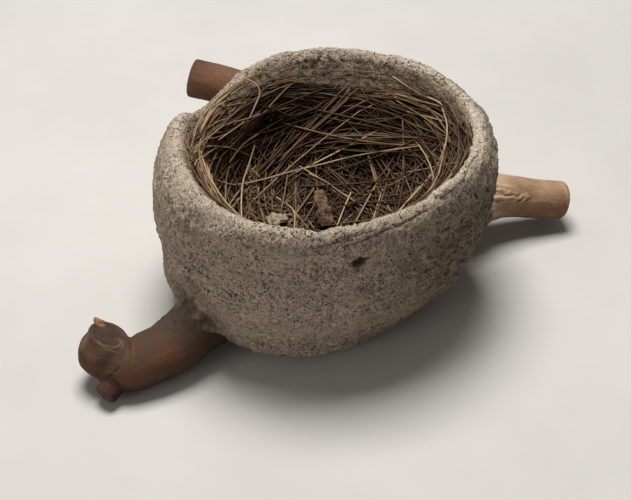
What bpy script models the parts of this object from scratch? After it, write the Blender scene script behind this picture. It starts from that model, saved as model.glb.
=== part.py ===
"""A bird's mud cup nest, built in the fork of a cut branch and lined with dry grass.

The nest stands on its flat foot.  The origin is on that foot, under the middle of the rim; +Z is up and
-Y is the side that the nest is usually seen from.  Lengths are in millimetres until a mesh is made.
"""

import math

import bmesh
import bpy
import numpy as np

MM = 0.001
FIT_GAP = 0.3            # clearance between pieces that touch

# Mud cup, outside, from the foot up to the crest of the rim: height, centre x, centre y, radius x, radius y
CUP_OUTSIDE = [
    (0.0, -10.0, -12.0, 31.0, 32.0),
    (2.5, -9.5, -11.5, 40.0, 41.0),
    (8.0, -8.5, -10.5, 50.0, 49.2),
    (20.0, -6.8, -7.5, 65.3, 56.4),
    (31.0, -3.9, -6.5, 69.8, 62.7),
    (42.0, -1.9, -5.5, 72.4, 67.0),
    (54.0, -0.9, -3.0, 74.8, 69.3),
    (66.0, -0.1, -1.0, 75.4, 70.3),
    (74.0, 0.5, -1.5, 74.5, 70.8),
    (80.0, 0.5, -1.5, 72.3, 70.3),
    (84.5, 0.3, -1.2, 68.6, 68.8),
    (87.0, 0.3, -1.0, 65.2, 66.6),
]
# Mud cup, inside, from the rim down to the middle of its floor
CUP_INSIDE = [
    (86.4, 0.6, -1.0, 63.2, 64.4),
    (83.5, 0.9, -1.1, 61.4, 62.6),
    (78.0, 0.8, -1.2, 60.2, 60.8),
    (68.0, 0.2, -1.2, 58.6, 58.6),
    (56.0, -1.0, -2.0, 55.2, 54.0),
    (44.0, -2.5, -3.0, 48.5, 46.5),
    (35.5, -3.5, -3.5, 38.0, 36.0),
    (31.5, -4.0, -4.0, 24.0, 23.0),
    (30.5, -4.0, -4.0, 10.0, 10.0),
]
RIM_HEIGHT = 87.0
RIM_SLOPE = 0.039        # the rim climbs by this much per millimetre towards +X
PLAN_OVAL = 0.027        # the plan is drawn out towards +X+Y and -X-Y
PLAN_CORNER = 0.011      # and very slightly three-cornered
BACK_BULGE = 12.0        # extra mud behind, packed against the rear limb
BACK_BULGE_HEIGHT = 34.0
LIP_STEP_ANGLE = 162.0   # degrees: where the last course of mud on the rim begins, as a small step
LIP_STEP = 1.2           # the rim stands out by this much past the step
LIP_RECESS = 1.8         # and lies this far back just before it
RIM_WAVE = 0.8           # the crest rises and falls by about this much
LUMP = 0.7               # height of the low lumps that the beakfuls of mud leave

# Grass lining: how far down the inside profile its top edge lies, and how thick the mat is
LINING_TOP = 0.285       # share of the inside profile, counted from the rim
LINING_RISE = 0.20       # it climbs towards the rim at the left and behind
LINING_RISE_ANGLE = 152.0
LINING_EDGE = 2.0
LINING_WALL = 5.0
LINING_FLOOR = 6.5
MAT_TANGLE = 0.5

# Branch: x, y, z and radius at points along each axis.  The front and right limbs are one bent stem.
STEM = [(-92, -69.5, 12.6, 10.0), (-84, -70.8, 11.6, 10.7), (-75.5, -66.6, 13.0, 11.8),
        (-67, -61.4, 14.1, 11.9), (-60.5, -55.8, 14.8, 11.6), (-54.5, -49.8, 15.8, 11.6),
        (-44, -40.5, 16.2, 11.7), (-16, -19, 15.4, 11.8), (16, 0.5, 15.6, 11.9), (46, 20.5, 17.0, 12.2),
        (64, 31, 20.0, 12.0), (80, 38, 20.8, 11.3), (90, 41, 19.0, 10.2), (101, 43.2, 16.2, 9.5),
        (116.2, 46.3, 12.6, 9.1)]
FORK = (46.0, 20.5, 17.0)               # the front and right limbs meet here, face to face
FORK_NORMAL = (0.83, 0.55, 0.10)
REAR_LIMB = [(57, 34, 21.0, 9.4), (53, 44, 23.5, 9.8), (36, 58, 28.5, 9.8), (8, 72, 36.2, 9.5),
             (-22, 85, 42.8, 9.4), (-50, 94.8, 47.2, 9.4), (-65.4, 98.6, 49.4, 9.5)]
LIMB_SHAPE = {"sides": 14, "steps": 24, "knots": 0.012, "dome": 2.2}
REAR_SHAPE = {"sides": 14, "steps": 12, "knots": 0.012, "dome": 1.2}
KNUCKLE = (-94.6, -66.2, 16.0)          # where the front limb turned up and was sawn off
KNUCKLE_RADIUS = 11.6
SAWN_STUB = [(-94.5, -66.2, 12.0, 10.4), (-94.0, -65.8, 18.0, 9.9), (-92.8, -65.0, 26.0, 8.3),
             (-91.6, -64.4, 32.0, 7.6)]
SAW_FACE = (-92.8, -65.1, 25.2)
SAW_NORMAL = (0.35, 0.05, 0.93)
SAW_REACH = 11.5                        # how far from the middle of its face the cut goes
SPLINTER = [(-96.5, -61.5, 22.0, 3.4), (-97.0, -60.8, 27.0, 2.5), (-98.0, -60.2, 32.2, 1.0)]
TWIG_STUB = [(-86.0, -70.5, 12.0, 5.4), (-89.8, -77.0, 8.6, 5.0), (-94.0, -83.0, 6.1, 4.7)]

# Mud drawn out along the limbs
FRONT_COLLAR = [(-22, -28, 16.5, 13.0), (-36, -35, 18.4, 15.8), (-46, -41.5, 20.0, 16.2),
                (-54, -48, 19.8, 15.4), (-60, -53.4, 17.6, 13.3), (-65.5, -58.2, 15.5, 12.0)]
RIGHT_COLLAR = [(26, 3, 17.0, 13.0), (40, 16, 18.2, 16.8), (56, 28, 20.2, 16.5), (66, 32.2, 21.0, 14.2),
                (75, 35.6, 21.0, 12.7)]
REAR_COLLAR = [(57, 36, 22.0, 12.5), (48, 46.5, 25.5, 13.8), (34, 57, 29.5, 14.5), (8, 70, 36.5, 14.0),
               (-12, 79, 41.0, 12.0), (-25, 84.5, 43.6, 10.4)]

# Long grass stems on the lining.  Each bend: degrees round the cup from +X, share of the way down the mat
# from its edge to the middle of the floor, and height above the mat
STEM_RADIUS = 0.55
LONG_STEMS = [
    # across the back wall
    [(101, 0.51, 1.5), (81, 0.45, 1.5), (60, 0.40, 1.5), (40, 0.34, 1.5), (24, 0.26, 1.5)],
    # down the middle
    [(108, 0.59, 1.5), (108, 0.74, 1.5), (141, 1.00, 1.5)],
    # slanting down the back wall
    [(76, 0.03, 1.5), (83, 0.22, 1.5), (94, 0.40, 2.5), (108, 0.56, 2.5), (128, 0.68, 1.5)],
    # beside it
    [(84, 0.07, 1.5), (92, 0.25, 1.5), (103, 0.42, 1.5), (120, 0.57, 1.5), (139, 0.63, 1.5)],
    # down the right side
    [(59, 0.49, 2.5), (47, 0.61, 2.5), (29, 0.70, 2.0), (5, 0.69, 2.0)],
    # further right
    [(45, 0.20, 3.5), (39, 0.34, 3.5), (31, 0.47, 3.0), (19, 0.63, 1.5)],
    # a dark one across the floor
    [(110, 0.64, 3.0), (98, 0.72, 3.0), (80, 0.79, 2.5), (48, 0.83, 2.0), (3, 0.71, 2.0)],
    # at the front of the floor
    [(135, 0.80, 2.0), (133, 0.87, 1.5), (143, 0.99, 2.5), (216, 1.00, 2.5)],
    # the long one from wall to wall
    [(182, 0.33, 1.5), (160, 0.58, 3.5), (136, 0.69, 4.5), (110, 0.69, 4.5), (86, 0.63, 5.0),
     (66, 0.53, 4.5), (45, 0.41, 5.0), (28, 0.28, 4.0)],
    # a kinked one that bows off the right wall, up over the mat's edge
    [(58, -0.10, 2.0), (43, -0.04, 2.0), (31, -0.08, 1.0), (27, -0.05, 1.0), (15, 0.00, 3.5),
     (6, 0.14, 2.0), (5, 0.33, 2.5), (6, 0.49, 2.5), (0, 0.62, 3.0)],
    # hooked, at the rear left
    [(131, -0.10, 1.0), (129, 0.01, 3.0), (129, 0.10, 2.5), (133, 0.17, 2.0), (142, 0.24, 1.5),
     (152, 0.27, 1.5)],
    # leaning at the left
    [(137, 0.42, 5.0), (143, 0.51, 5.5), (154, 0.62, 5.5), (172, 0.69, 5.0), (188, 0.71, 3.5)],
    # a short bright one on the floor
    [(50, 0.81, 3.5), (33, 0.95, 3.0), (334, 1.00, 3.0)],
    # below the right arc
    [(5, 0.42, 4.0), (3, 0.52, 4.0), (355, 0.62, 4.0)],
]
# A curled two-lobed chip of bark and a crumpled scrap of pale leaf on the lining: x, y, z and half width
BARK_CHIP = [(1.4, -11.0, 41.6, 2.6), (1.2, -8.0, 43.4, 3.9), (0.6, -4.4, 45.9, 3.6),
             (-0.2, -2.3, 47.5, 2.4), (-0.6, 0.2, 49.2, 3.2), (-1.0, 3.0, 51.0, 2.6)]
BARK_CHIP_FLAT = 0.36
LEAF_SCRAP = [(-25.4, -4.6, 40.8, 2.2), (-22.6, -3.4, 41.6, 4.0), (-19.6, -2.4, 41.8, 3.6),
              (-17.2, -1.6, 41.0, 2.0)]
LEAF_SCRAP_FLAT = 0.42

COLOURS = {
    "mud": (0.36, 0.31, 0.26),
    "grass": (0.42, 0.31, 0.19),
    "mat": (0.20, 0.15, 0.10),
    "bark": (0.30, 0.17, 0.11),
    "chip": (0.36, 0.20, 0.13),
    "leaf": (0.50, 0.46, 0.36),
}


def clear_scene():
    for old in list(bpy.data.objects):
        bpy.data.objects.remove(old)


def material(name, colour, roughness):
    made = bpy.data.materials.new(name)
    made.use_nodes = True
    shader = made.node_tree.nodes["Principled BSDF"]
    shader.inputs["Base Color"].default_value = (*colour, 1.0)
    shader.inputs["Roughness"].default_value = roughness
    shader.inputs["Metallic"].default_value = 0.0
    return made


def add_object(name, points, faces, finish=None):
    """One closed mesh, given in millimetres, as a named object in metres with its faces pointing out."""
    mesh = bpy.data.meshes.new(name)
    mesh.from_pydata((np.asarray(points, float) * MM).tolist(), [], faces)
    built = bmesh.new()
    built.from_mesh(mesh)
    bmesh.ops.recalc_face_normals(built, faces=built.faces)
    if built.calc_volume(signed=True) < 0:
        bmesh.ops.reverse_faces(built, faces=built.faces)
    built.to_mesh(mesh)
    built.free()
    mesh.shade_smooth()
    mesh.set_sharp_from_angle(angle=math.radians(40))
    made = bpy.data.objects.new(name, mesh)
    bpy.context.collection.objects.link(made)
    if finish is not None:
        mesh.materials.append(finish)
    return made


def combine(target, tool, operation):
    """A Boolean with a tool that stays in the file as a hidden wire guide."""
    tool.hide_render = True
    tool.display_type = "WIRE"
    cut = target.modifiers.new(tool.name, "BOOLEAN")
    cut.operation = operation
    cut.object = tool
    cut.solver = "EXACT"


def spline(points, places):
    """Catmull-Rom curve through the rows of points, read at places from 0 to 1 by row number."""
    rows = np.asarray(points, float)
    at = np.asarray(places, float) * (len(rows) - 1)
    start = np.clip(np.floor(at).astype(int), 0, len(rows) - 2)
    t = (at - start)[..., None]
    padded = np.vstack([2 * rows[0] - rows[1], rows, 2 * rows[-1] - rows[-2]])
    a, b, c, d = (padded[start + k] for k in range(4))
    return 0.5 * (2 * b + (c - a) * t + (2 * a - 5 * b + 4 * c - d) * t**2 + (3 * b - a - 3 * c + d) * t**3)


def lumps(x, y, z):
    """Low rounded lumps about 15 mm across, as a sum of crossed waves from -1 to 1."""
    first = np.sin(x / 5.3 + 1.3 * np.sin(z / 9.0)) * np.sin(y / 6.1 + z / 8.3 + 0.7)
    second = np.sin((x + y) / 8.7 + 2.1) * np.sin((z - x) / 7.9 + 0.4)
    return 0.6 * first + 0.4 * second


def cup_points(profile, angle, place):
    """Points of the cup: a profile read at place (0 to 1) and turned to angle, with the plan and slope."""
    height, centre_x, centre_y, radius_x, radius_y = np.moveaxis(spline(profile, place), -1, 0)
    plan = 1 + PLAN_OVAL * np.sin(2 * angle) + PLAN_CORNER * np.cos(3 * angle)
    share = height / RIM_HEIGHT
    back = np.maximum(0.0, np.sin(angle - math.radians(10))) ** 2
    bulge = BACK_BULGE * back * np.exp(-(((height - BACK_BULGE_HEIGHT) / 19.0) ** 2))
    bulge = bulge if profile is CUP_OUTSIDE else 0.0
    turn = np.degrees(angle) % 360
    onset = 1 / (1 + np.exp((LIP_STEP_ANGLE - turn) / 1.2))
    past = LIP_STEP * onset / (1 + np.exp((turn - 182) / 5))
    before = LIP_RECESS * (1 - onset) * np.exp(-(((turn - 151) / 12) ** 2))
    step = (past - before) * np.clip((share - 0.55) / 0.3, 0, 1)
    x = centre_x + (radius_x * plan + bulge + step) * np.cos(angle)
    y = centre_y + (radius_y * plan + bulge + step) * np.sin(angle)
    wave = RIM_WAVE * (np.sin(3 * angle + 2.6) + 0.8 * np.sin(5 * angle + 3.6) + 0.4 * np.sin(9 * angle))
    z = height + share * RIM_SLOPE * x + wave * share**3 + 0.5 * step * share
    return np.stack([x, y, z], axis=-1)


def grid_faces(rows, columns):
    """Quads of a grid of rows whose columns close on themselves."""
    faces = []
    for r in range(rows - 1):
        low, high = r * columns, (r + 1) * columns
        for c in range(columns):
            after = (c + 1) % columns
            faces.append((low + c, low + after, high + after, high + c))
    return faces


def closed_rings(rings):
    """One closed body from a stack of rings, shut by a fan at each end."""
    rows, columns = rings.shape[:2]
    points = np.vstack([rings.reshape(-1, 3), rings[0].mean(axis=0), rings[-1].mean(axis=0)])
    low_pole, top = rows * columns, (rows - 1) * columns
    faces = grid_faces(rows, columns)
    for c in range(columns):
        after = (c + 1) % columns
        faces += [(low_pole, after, c), (low_pole + 1, top + c, top + after)]
    return points, faces


def tube_rings(line, sides, steps, grow=0.0, knots=0.0, flat=1.0, dome=0.0):
    """Rings along the smooth curve through line's x, y, z, radius rows.

    grow widens it, knots makes it uneven, flat presses it to that share of its width, and dome rounds
    the corner of each end over that length.
    """
    fine = spline(line, np.linspace(0, 1, 400))
    run = np.concatenate([[0], np.cumsum(np.linalg.norm(np.diff(fine[:, :3], axis=0), axis=1))])
    wanted = np.linspace(0, run[-1], steps)
    if dome:
        corner = dome * np.array([0.3, 1.0])
        wanted = np.sort(np.concatenate([wanted, corner, run[-1] - corner]))
    rows = np.stack([np.interp(wanted, run, fine[:, k]) for k in range(4)], axis=1)
    from_end = np.minimum(wanted, run[-1] - wanted)
    worn = dome * np.interp(from_end, [0, 0.3 * dome, dome], [1.0, 0.4, 0.0]) if dome else 0.0
    centre, radius = rows[:, :3], rows[:, 3] + grow - worn
    ahead = np.gradient(centre, axis=0)
    ahead /= np.linalg.norm(ahead, axis=1)[:, None]
    helper = np.where(np.abs(ahead[:, 2:]) > 0.9, [[1.0, 0, 0]], [[0, 0, 1.0]])
    across = np.cross(ahead, helper)
    across /= np.linalg.norm(across, axis=1)[:, None]
    above = np.cross(across, ahead)
    turn = np.linspace(0, 2 * math.pi, sides, endpoint=False)
    uneven = 1 + knots * (
        np.sin(2 * turn + 0.05 * wanted[:, None]) + 0.6 * np.sin(3 * turn - 0.09 * wanted[:, None] + 1)
    )
    reach = radius[:, None, None] * uneven[..., None]
    sideways = np.cos(turn)[None, :, None] * across[:, None]
    upward = flat * np.sin(turn)[None, :, None] * above[:, None]
    return centre[:, None] + reach * (sideways + upward)


def tube(name, line, sides, steps, finish=None, **form):
    return add_object(name, *closed_rings(tube_rings(line, sides, steps, **form)), finish)


def ball(name, centre, radius, finish=None):
    """A round knot as a stack of rings from pole to pole."""
    lift = np.radians(np.linspace(-80, 80, 9))
    turn = np.linspace(0, 2 * math.pi, 16, endpoint=False)
    rings = np.stack(
        [
            centre[0] + radius * np.cos(lift)[:, None] * np.cos(turn),
            centre[1] + radius * np.cos(lift)[:, None] * np.sin(turn),
            centre[2] + radius * np.sin(lift)[:, None] * np.ones_like(turn),
        ],
        axis=-1,
    )
    return add_object(name, *closed_rings(rings), finish)


def slab(name, point, normal, half_width, thickness):
    """A square block that stands on the plane through point, for a saw cut."""
    n = np.asarray(normal, float) / np.linalg.norm(normal)
    u = np.cross(n, [0, 1.0, 0])
    u /= np.linalg.norm(u)
    v = np.cross(n, u)
    corners = [
        np.asarray(point) + half_width * (a * u + b * v) + c * thickness * n
        for c in (0, 1)
        for a, b in ((-1, -1), (1, -1), (1, 1), (-1, 1))
    ]
    faces = [(0, 1, 2, 3), (4, 5, 6, 7), (0, 1, 5, 4), (1, 2, 6, 5), (2, 3, 7, 6), (3, 0, 4, 7)]
    return add_object(name, corners, faces)


def make_mud_cup(finish):
    columns = 52
    angle = np.linspace(0, 2 * math.pi, columns, endpoint=False)[None, :]
    outside = cup_points(CUP_OUTSIDE, angle, np.linspace(0, 1, 16)[:, None] + 0 * angle)
    inside = cup_points(CUP_INSIDE, angle, np.linspace(0, 1, 9)[:, None] + 0 * angle)
    rings = np.concatenate([outside, inside])
    x, y, z = np.moveaxis(rings, -1, 0)
    outward = np.stack([np.cos(angle) + 0 * x, np.sin(angle) + 0 * x, 0 * x], axis=-1)
    weight = np.ones(len(rings))
    weight[:2] = 0.0
    weight[len(outside) + 2:] = 0.0
    rings = rings + (LUMP * weight[:, None] * lumps(x, y, z))[..., None] * outward
    cup = add_object("mud_cup", *closed_rings(rings), finish)
    for name, line in (("front", FRONT_COLLAR), ("right", RIGHT_COLLAR), ("rear", REAR_COLLAR)):
        combine(cup, tube(f"guide_{name}_collar", line, 16, 10, knots=0.02), "UNION")
    combine(cup, tube("guide_stem_tunnel", STEM, grow=FIT_GAP + 0.1, **LIMB_SHAPE), "DIFFERENCE")
    combine(cup, tube("guide_rear_tunnel", REAR_LIMB, grow=FIT_GAP + 0.1, **REAR_SHAPE), "DIFFERENCE")
    return cup


def lining_surface(angle, down):
    """Points on the wall behind the lining, directions from them into the cup, and the mat's thickness.

    down runs from 0 at the mat's top edge to 1 near the middle of the floor.
    """
    near = np.exp(-((((np.degrees(angle) - LINING_RISE_ANGLE + 180) % 360 - 180) / 48.0) ** 2))
    top = LINING_TOP - LINING_RISE * near
    place = top + (0.985 - top) * down
    small = 1e-3
    wall = cup_points(CUP_INSIDE, angle, place)
    along = cup_points(CUP_INSIDE, angle, place - small) - wall
    around = cup_points(CUP_INSIDE, angle + small, place) - wall
    inward = np.cross(along, around)
    inward /= np.linalg.norm(inward, axis=-1)[..., None]
    thick = np.interp(down, [0, 0.12, 0.6, 1], [LINING_EDGE, LINING_WALL, LINING_WALL, LINING_FLOOR])
    return wall, inward, thick


def make_lining(finish):
    angle = np.linspace(0, 2 * math.pi, 40, endpoint=False)[None, :]
    wall, inward, thick = lining_surface(angle, np.linspace(1, 0, 7)[:, None] + 0 * angle)
    back = wall + inward * (FIT_GAP + 0.7)
    down = np.linspace(0, 1, 11)[:, None] + 0 * angle
    wall, inward, thick = lining_surface(angle, down)
    tangle = MAT_TANGLE * np.sin(14 * angle + 9 * down) * np.sin(31 * down + 5 * angle)
    face = wall + inward * (thick + tangle)[..., None]
    return add_object("grass_lining", *closed_rings(np.concatenate([back, face])), finish)


def fork_guide(name, side):
    """The half of space beyond the fork's plane, on the side given as +1 or -1."""
    n = side * np.asarray(FORK_NORMAL) / np.linalg.norm(FORK_NORMAL)
    return slab(name, np.asarray(FORK) - n * FIT_GAP / 2, n, 110, 200)


def make_limbs(finish):
    front = tube("front_limb", STEM, finish=finish, **LIMB_SHAPE)
    combine(front, fork_guide("guide_fork_front", 1), "DIFFERENCE")
    combine(front, ball("guide_knuckle", KNUCKLE, KNUCKLE_RADIUS), "UNION")
    combine(front, tube("guide_sawn_stub", SAWN_STUB, 18, 6, knots=0.01), "UNION")
    combine(front, slab("guide_saw_cut", SAW_FACE, SAW_NORMAL, SAW_REACH, 30), "DIFFERENCE")
    combine(front, tube("guide_splinter", SPLINTER, 8, 5), "UNION")
    combine(front, tube("guide_twig_stub", TWIG_STUB, 12, 6, knots=0.02), "UNION")
    right = tube("right_limb", STEM, finish=finish, **LIMB_SHAPE)
    combine(right, fork_guide("guide_fork_right", -1), "DIFFERENCE")
    rear = tube("rear_limb", REAR_LIMB, finish=finish, **REAR_SHAPE)
    combine(rear, tube("guide_rear_seat", STEM, grow=FIT_GAP + 0.1, **LIMB_SHAPE), "DIFFERENCE")


def make_long_stems(finish):
    for number, bends in enumerate(LONG_STEMS, 1):
        turn, down, lift = np.array(bends).T
        wall, inward, thick = lining_surface(np.radians(turn), down)
        line = wall + inward * (thick + lift)[:, None]
        share = np.linspace(0, 1, len(line))
        radius = STEM_RADIUS * np.interp(share, [0, 0.1, 0.9, 1], [0.7, 1, 1, 0.6])
        steps = max(8, 2 * len(line) + 1)
        tube(f"long_stem_{number:02d}", np.column_stack([line, radius]), 5, steps, finish)


def make_scraps(bark, leaf):
    tube("bark_chip", BARK_CHIP, 8, 9, bark, knots=0.04, flat=BARK_CHIP_FLAT)
    tube("leaf_scrap", LEAF_SCRAP, 8, 6, leaf, knots=0.08, flat=LEAF_SCRAP_FLAT)


def main():
    clear_scene()
    finish = {name: material(name, colour, 0.9) for name, colour in COLOURS.items()}
    make_mud_cup(finish["mud"])
    make_lining(finish["mat"])
    make_limbs(finish["bark"])
    make_long_stems(finish["grass"])
    make_scraps(finish["chip"], finish["leaf"])


main()
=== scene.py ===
import math

import bpy
import numpy as np
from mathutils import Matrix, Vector
from mathutils.bvhtree import BVHTree


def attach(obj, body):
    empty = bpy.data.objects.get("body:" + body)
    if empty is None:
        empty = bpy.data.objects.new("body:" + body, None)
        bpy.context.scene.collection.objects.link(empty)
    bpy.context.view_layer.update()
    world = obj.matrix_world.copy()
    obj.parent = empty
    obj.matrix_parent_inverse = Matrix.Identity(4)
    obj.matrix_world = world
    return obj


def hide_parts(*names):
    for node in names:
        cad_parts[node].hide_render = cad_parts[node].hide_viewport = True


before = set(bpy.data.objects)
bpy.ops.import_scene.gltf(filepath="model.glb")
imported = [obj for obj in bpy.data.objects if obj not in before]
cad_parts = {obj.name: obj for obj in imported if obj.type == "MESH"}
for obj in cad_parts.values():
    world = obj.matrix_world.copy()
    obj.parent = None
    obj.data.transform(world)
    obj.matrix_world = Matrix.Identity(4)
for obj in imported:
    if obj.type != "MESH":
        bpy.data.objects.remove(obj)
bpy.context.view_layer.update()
mm = 0.001
rng = np.random.default_rng(7)


def dot(one, two):
    return (one * two).sum(-1, keepdims=True)


def unit(vectors):
    return vectors / np.maximum(np.linalg.norm(vectors, axis=-1, keepdims=True), 1e-12)


def rises(value, start, over):
    # 0 up to start and 1 from start + over, (value - start) / over between them
    return np.clip((value - start) / over, 0, 1)


def falls(value, end, over):
    # 1 up to end - over and 0 from end, (end - value) / over between them
    return np.clip((end - value) / over, 0, 1)


def bell(value, middle, width):
    # e to the power of minus ((value - middle) / width) squared
    return np.exp(-(((value - middle) / width) ** 2))


def turnFrom(degrees, start):
    # how far a turn lies from start, from -180 to 180 degrees
    return (degrees - start + 180) % 360 - 180


def spline(rows, places):
    # Catmull-Rom curve through the rows, read at places from 0 to 1 by row number
    rows = np.asarray(rows, float)
    at = np.asarray(places, float) * (len(rows) - 1)
    start = np.clip(np.floor(at).astype(int), 0, len(rows) - 2)
    t = (at - start)[..., None]
    padded = np.vstack([2 * rows[0] - rows[1], rows, 2 * rows[-1] - rows[-2]])
    a, b, c, d = (padded[start + k] for k in range(4))
    return 0.5 * (2 * b + (c - a) * t + (2 * a - 5 * b + 4 * c - d) * t**2 + (3 * b - a - 3 * c + d) * t**3)


# large factors that scatter neighbouring cells
scatter = {"axes": (73856093, 19349663, 83492791), "seed": 2654435, "mix": 1274126177}


def hashed(cells, seed):
    # a random value from 0 to 1 for each cell of whole numbers, from their products folded by exclusive or
    a, b, c = (cells[..., k] * factor for k, factor in enumerate(scatter["axes"]))
    h = a ^ b ^ c ^ (seed * scatter["seed"])
    h = (h ^ (h >> 13)) * scatter["mix"]
    return ((h ^ (h >> 16)) & 0xFFFF) / 65535.0


def noise(points, cell, seed=0):
    # smooth noise from -1 to 1: random values at the corners of cells of that size, blended by t*t*(3-2t)
    q = points / np.asarray(cell, float) + 31.7 * (seed + 1)
    whole = np.floor(q).astype(np.int64)
    t = q - whole
    t = t * t * (3 - 2 * t)
    total = 0.0
    for corner in np.ndindex(2, 2, 2):
        weight = np.prod(np.where(np.array(corner) == 1, t, 1 - t), axis=-1)
        total = total + weight * (2 * hashed(whole + np.array(corner), seed) - 1)
    return total


def strokes(points, normals, cell, length, width, seed):
    # one short stroke lying in the surface of each cell: 1 along its middle, falling to 0 at its width
    whole = np.floor(points / cell).astype(np.int64)
    pick = np.stack([hashed(whole, seed + k) for k in range(6)], -1)
    rel = points - (whole + 0.3 + 0.4 * pick[:, :3]) * cell
    rel = rel - normals * dot(rel, normals)
    way = pick[:, 3:] - 0.5
    way = unit(way - normals * dot(way, normals))
    along = dot(rel, way)
    aside = np.linalg.norm(rel - along * way, axis=-1)
    inside = np.clip((length / 2 - np.abs(along[:, 0])) / (0.25 * length), 0, 1)
    return np.clip(1.35 - aside / width, 0, 1) * inside


def addPiece(name, points, faces, finish=None, slot=None, replaces=(), values=None, smooth=True):
    # points in millimetres and faces as one array of corner numbers (3 or 4 to a face)
    points = np.ascontiguousarray(points, dtype=np.float32).reshape(-1, 3) * mm
    faces = np.asarray(faces, dtype=np.int32)
    corners = faces.shape[1]
    mesh = bpy.data.meshes.new(name)
    mesh.vertices.add(len(points))
    mesh.vertices.foreach_set("co", points.ravel())
    mesh.loops.add(faces.size)
    mesh.loops.foreach_set("vertex_index", faces.ravel())
    mesh.polygons.add(len(faces))
    mesh.polygons.foreach_set("loop_start", np.arange(0, faces.size, corners, dtype=np.int32))
    mesh.update(calc_edges=True)
    mesh.validate()
    if smooth:
        mesh.shade_smooth()
    for key, data in (values or {}).items():
        addValue(mesh, key, data)
    made = bpy.data.objects.new(name, mesh)
    bpy.context.scene.collection.objects.link(made)
    if finish is not None:
        mesh.materials.append(finish)
    if slot is not None:
        dress(made, slot, replaces)
    return made


def addValue(mesh, key, data):
    # a number or a direction for each point, which the finishes read by name
    data = np.asarray(data, dtype=np.float32)
    kind, field = ("FLOAT_VECTOR", "vector") if data.ndim == 2 else ("FLOAT", "value")
    mesh.attributes.new(key, kind, "POINT").data.foreach_set(field, np.ascontiguousarray(data).ravel())


def dress(piece, slot, replaces=()):
    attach(piece, "root")
    if replaces:
        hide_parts(*replaces)


def tubeFaces(count, rings, sides):
    # triangles of count tubes, each a stack of rings and then its two end points
    r, s = np.meshgrid(np.arange(rings - 1), np.arange(sides), indexing="ij")
    a, b = r * sides + s, r * sides + (s + 1) % sides
    c, d = b + sides, a + sides
    walls = np.concatenate([np.stack([a, b, c], -1).reshape(-1, 3), np.stack([a, c, d], -1).reshape(-1, 3)])
    side = np.arange(sides)
    after = (side + 1) % sides
    top = (rings - 1) * sides
    low = np.stack([np.full(sides, rings * sides), after, side], -1)
    high = np.stack([np.full(sides, rings * sides + 1), top + side, top + after], -1)
    one = np.concatenate([walls, low, high])
    return (one[None] + (rings * sides + 2) * np.arange(count)[:, None, None]).reshape(-1, 3)


def tubePoints(lines, radius, sides, flat=1.0, twist=0.0):
    # lines [n, rings, 3] and radius [n, rings]: centre + radius (cos a across + flat sin a above)
    ahead = unit(np.gradient(lines, axis=1))
    helper = np.where(np.abs(ahead[:, :1, 2:]) > 0.9, [[[1.0, 0, 0]]], [[[0, 0, 1.0]]])
    across = unit(np.cross(ahead, np.broadcast_to(helper, ahead.shape)))
    above = np.cross(across, ahead)
    turn = np.linspace(2 * math.pi, 0, sides, endpoint=False) + np.asarray(twist, float).reshape(-1, 1, 1)
    ring = np.cos(turn)[..., None] * across[:, :, None] + flat * np.sin(turn)[..., None] * above[:, :, None]
    body = (lines[:, :, None] + radius[:, :, None, None] * ring).reshape(len(lines), -1, 3)
    ends = np.stack([lines[:, 0] - ahead[:, 0] * radius[:, :1] * 0.5,
                     lines[:, -1] + ahead[:, -1] * radius[:, -1:] * 0.5], axis=1)
    return np.concatenate([body, ends], axis=1)


def addTubes(name, lines, radius, sides, finish, slot, replaces=(), values=None, **form):
    # values are one number for each tube, given to all its points
    points = tubePoints(lines, radius, sides, **form)
    spread = {key: np.repeat(data, points.shape[1]) for key, data in (values or {}).items()}
    faces = tubeFaces(len(lines), lines.shape[1], sides)
    return addPiece(name, points, faces, finish, slot, replaces, spread)


def closedRings(rings):
    # [rings, sides, 3] with a middle point at each end
    return np.concatenate([rings.reshape(-1, 3), rings[0].mean(0)[None], rings[-1].mean(0)[None]])


def read(data, key, width, kind=np.float32):
    # one property of all the points, edges or faces as an array of rows
    out = np.empty(len(data) * width, kind)
    data.foreach_get(key, out)
    return out.reshape(-1, width) if width > 1 else out


def getPoints(piece):
    return read(piece.data.vertices, "co", 3).astype(float) / mm


def setPoints(piece, points):
    piece.data.vertices.foreach_set("co", (points * mm).astype(np.float32).ravel())
    piece.data.update()


def getNormals(piece):
    return read(piece.data.vertex_normals, "vector", 3).astype(float)


def soften(piece, times, weight=1.0):
    # each point moves half way to the mean of its neighbours, times over
    points = getPoints(piece)
    edges = read(piece.data.edges, "vertices", 2, np.int32)
    a, b = np.concatenate([edges[:, 0], edges[:, 1]]), np.concatenate([edges[:, 1], edges[:, 0]])
    count = np.maximum(np.bincount(a, minlength=len(points)), 1)[:, None]
    pull = 0.5 * np.reshape(weight, (-1, 1))
    for _ in range(times):
        mean = np.stack([np.bincount(a, points[b, k], len(points)) for k in range(3)], -1) / count
        points = points + pull * (mean - points)
    setPoints(piece, points)


def applyModifiers(piece):
    held = bpy.context.evaluated_depsgraph_get()
    mesh = bpy.data.meshes.new_from_object(piece.evaluated_get(held), depsgraph=held)
    piece.modifiers.clear()
    old = piece.data
    mesh.name = old.name
    piece.data = mesh
    bpy.data.meshes.remove(old)
    mesh.shade_smooth()


def merged(name, shapes, cell):
    # closed stacks of rings that overlap become one skin of cells of that size
    points, faces, start = [], [], 0
    for rings in shapes:
        points.append(closedRings(rings))
        faces.append(tubeFaces(1, *rings.shape[:2]) + start)
        start += len(points[-1])
    made = addPiece(name, np.concatenate(points), np.concatenate(faces))
    change = made.modifiers.new("skin", "REMESH")
    change.mode = "VOXEL"
    change.voxel_size = cell * mm
    applyModifiers(made)
    return made


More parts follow.
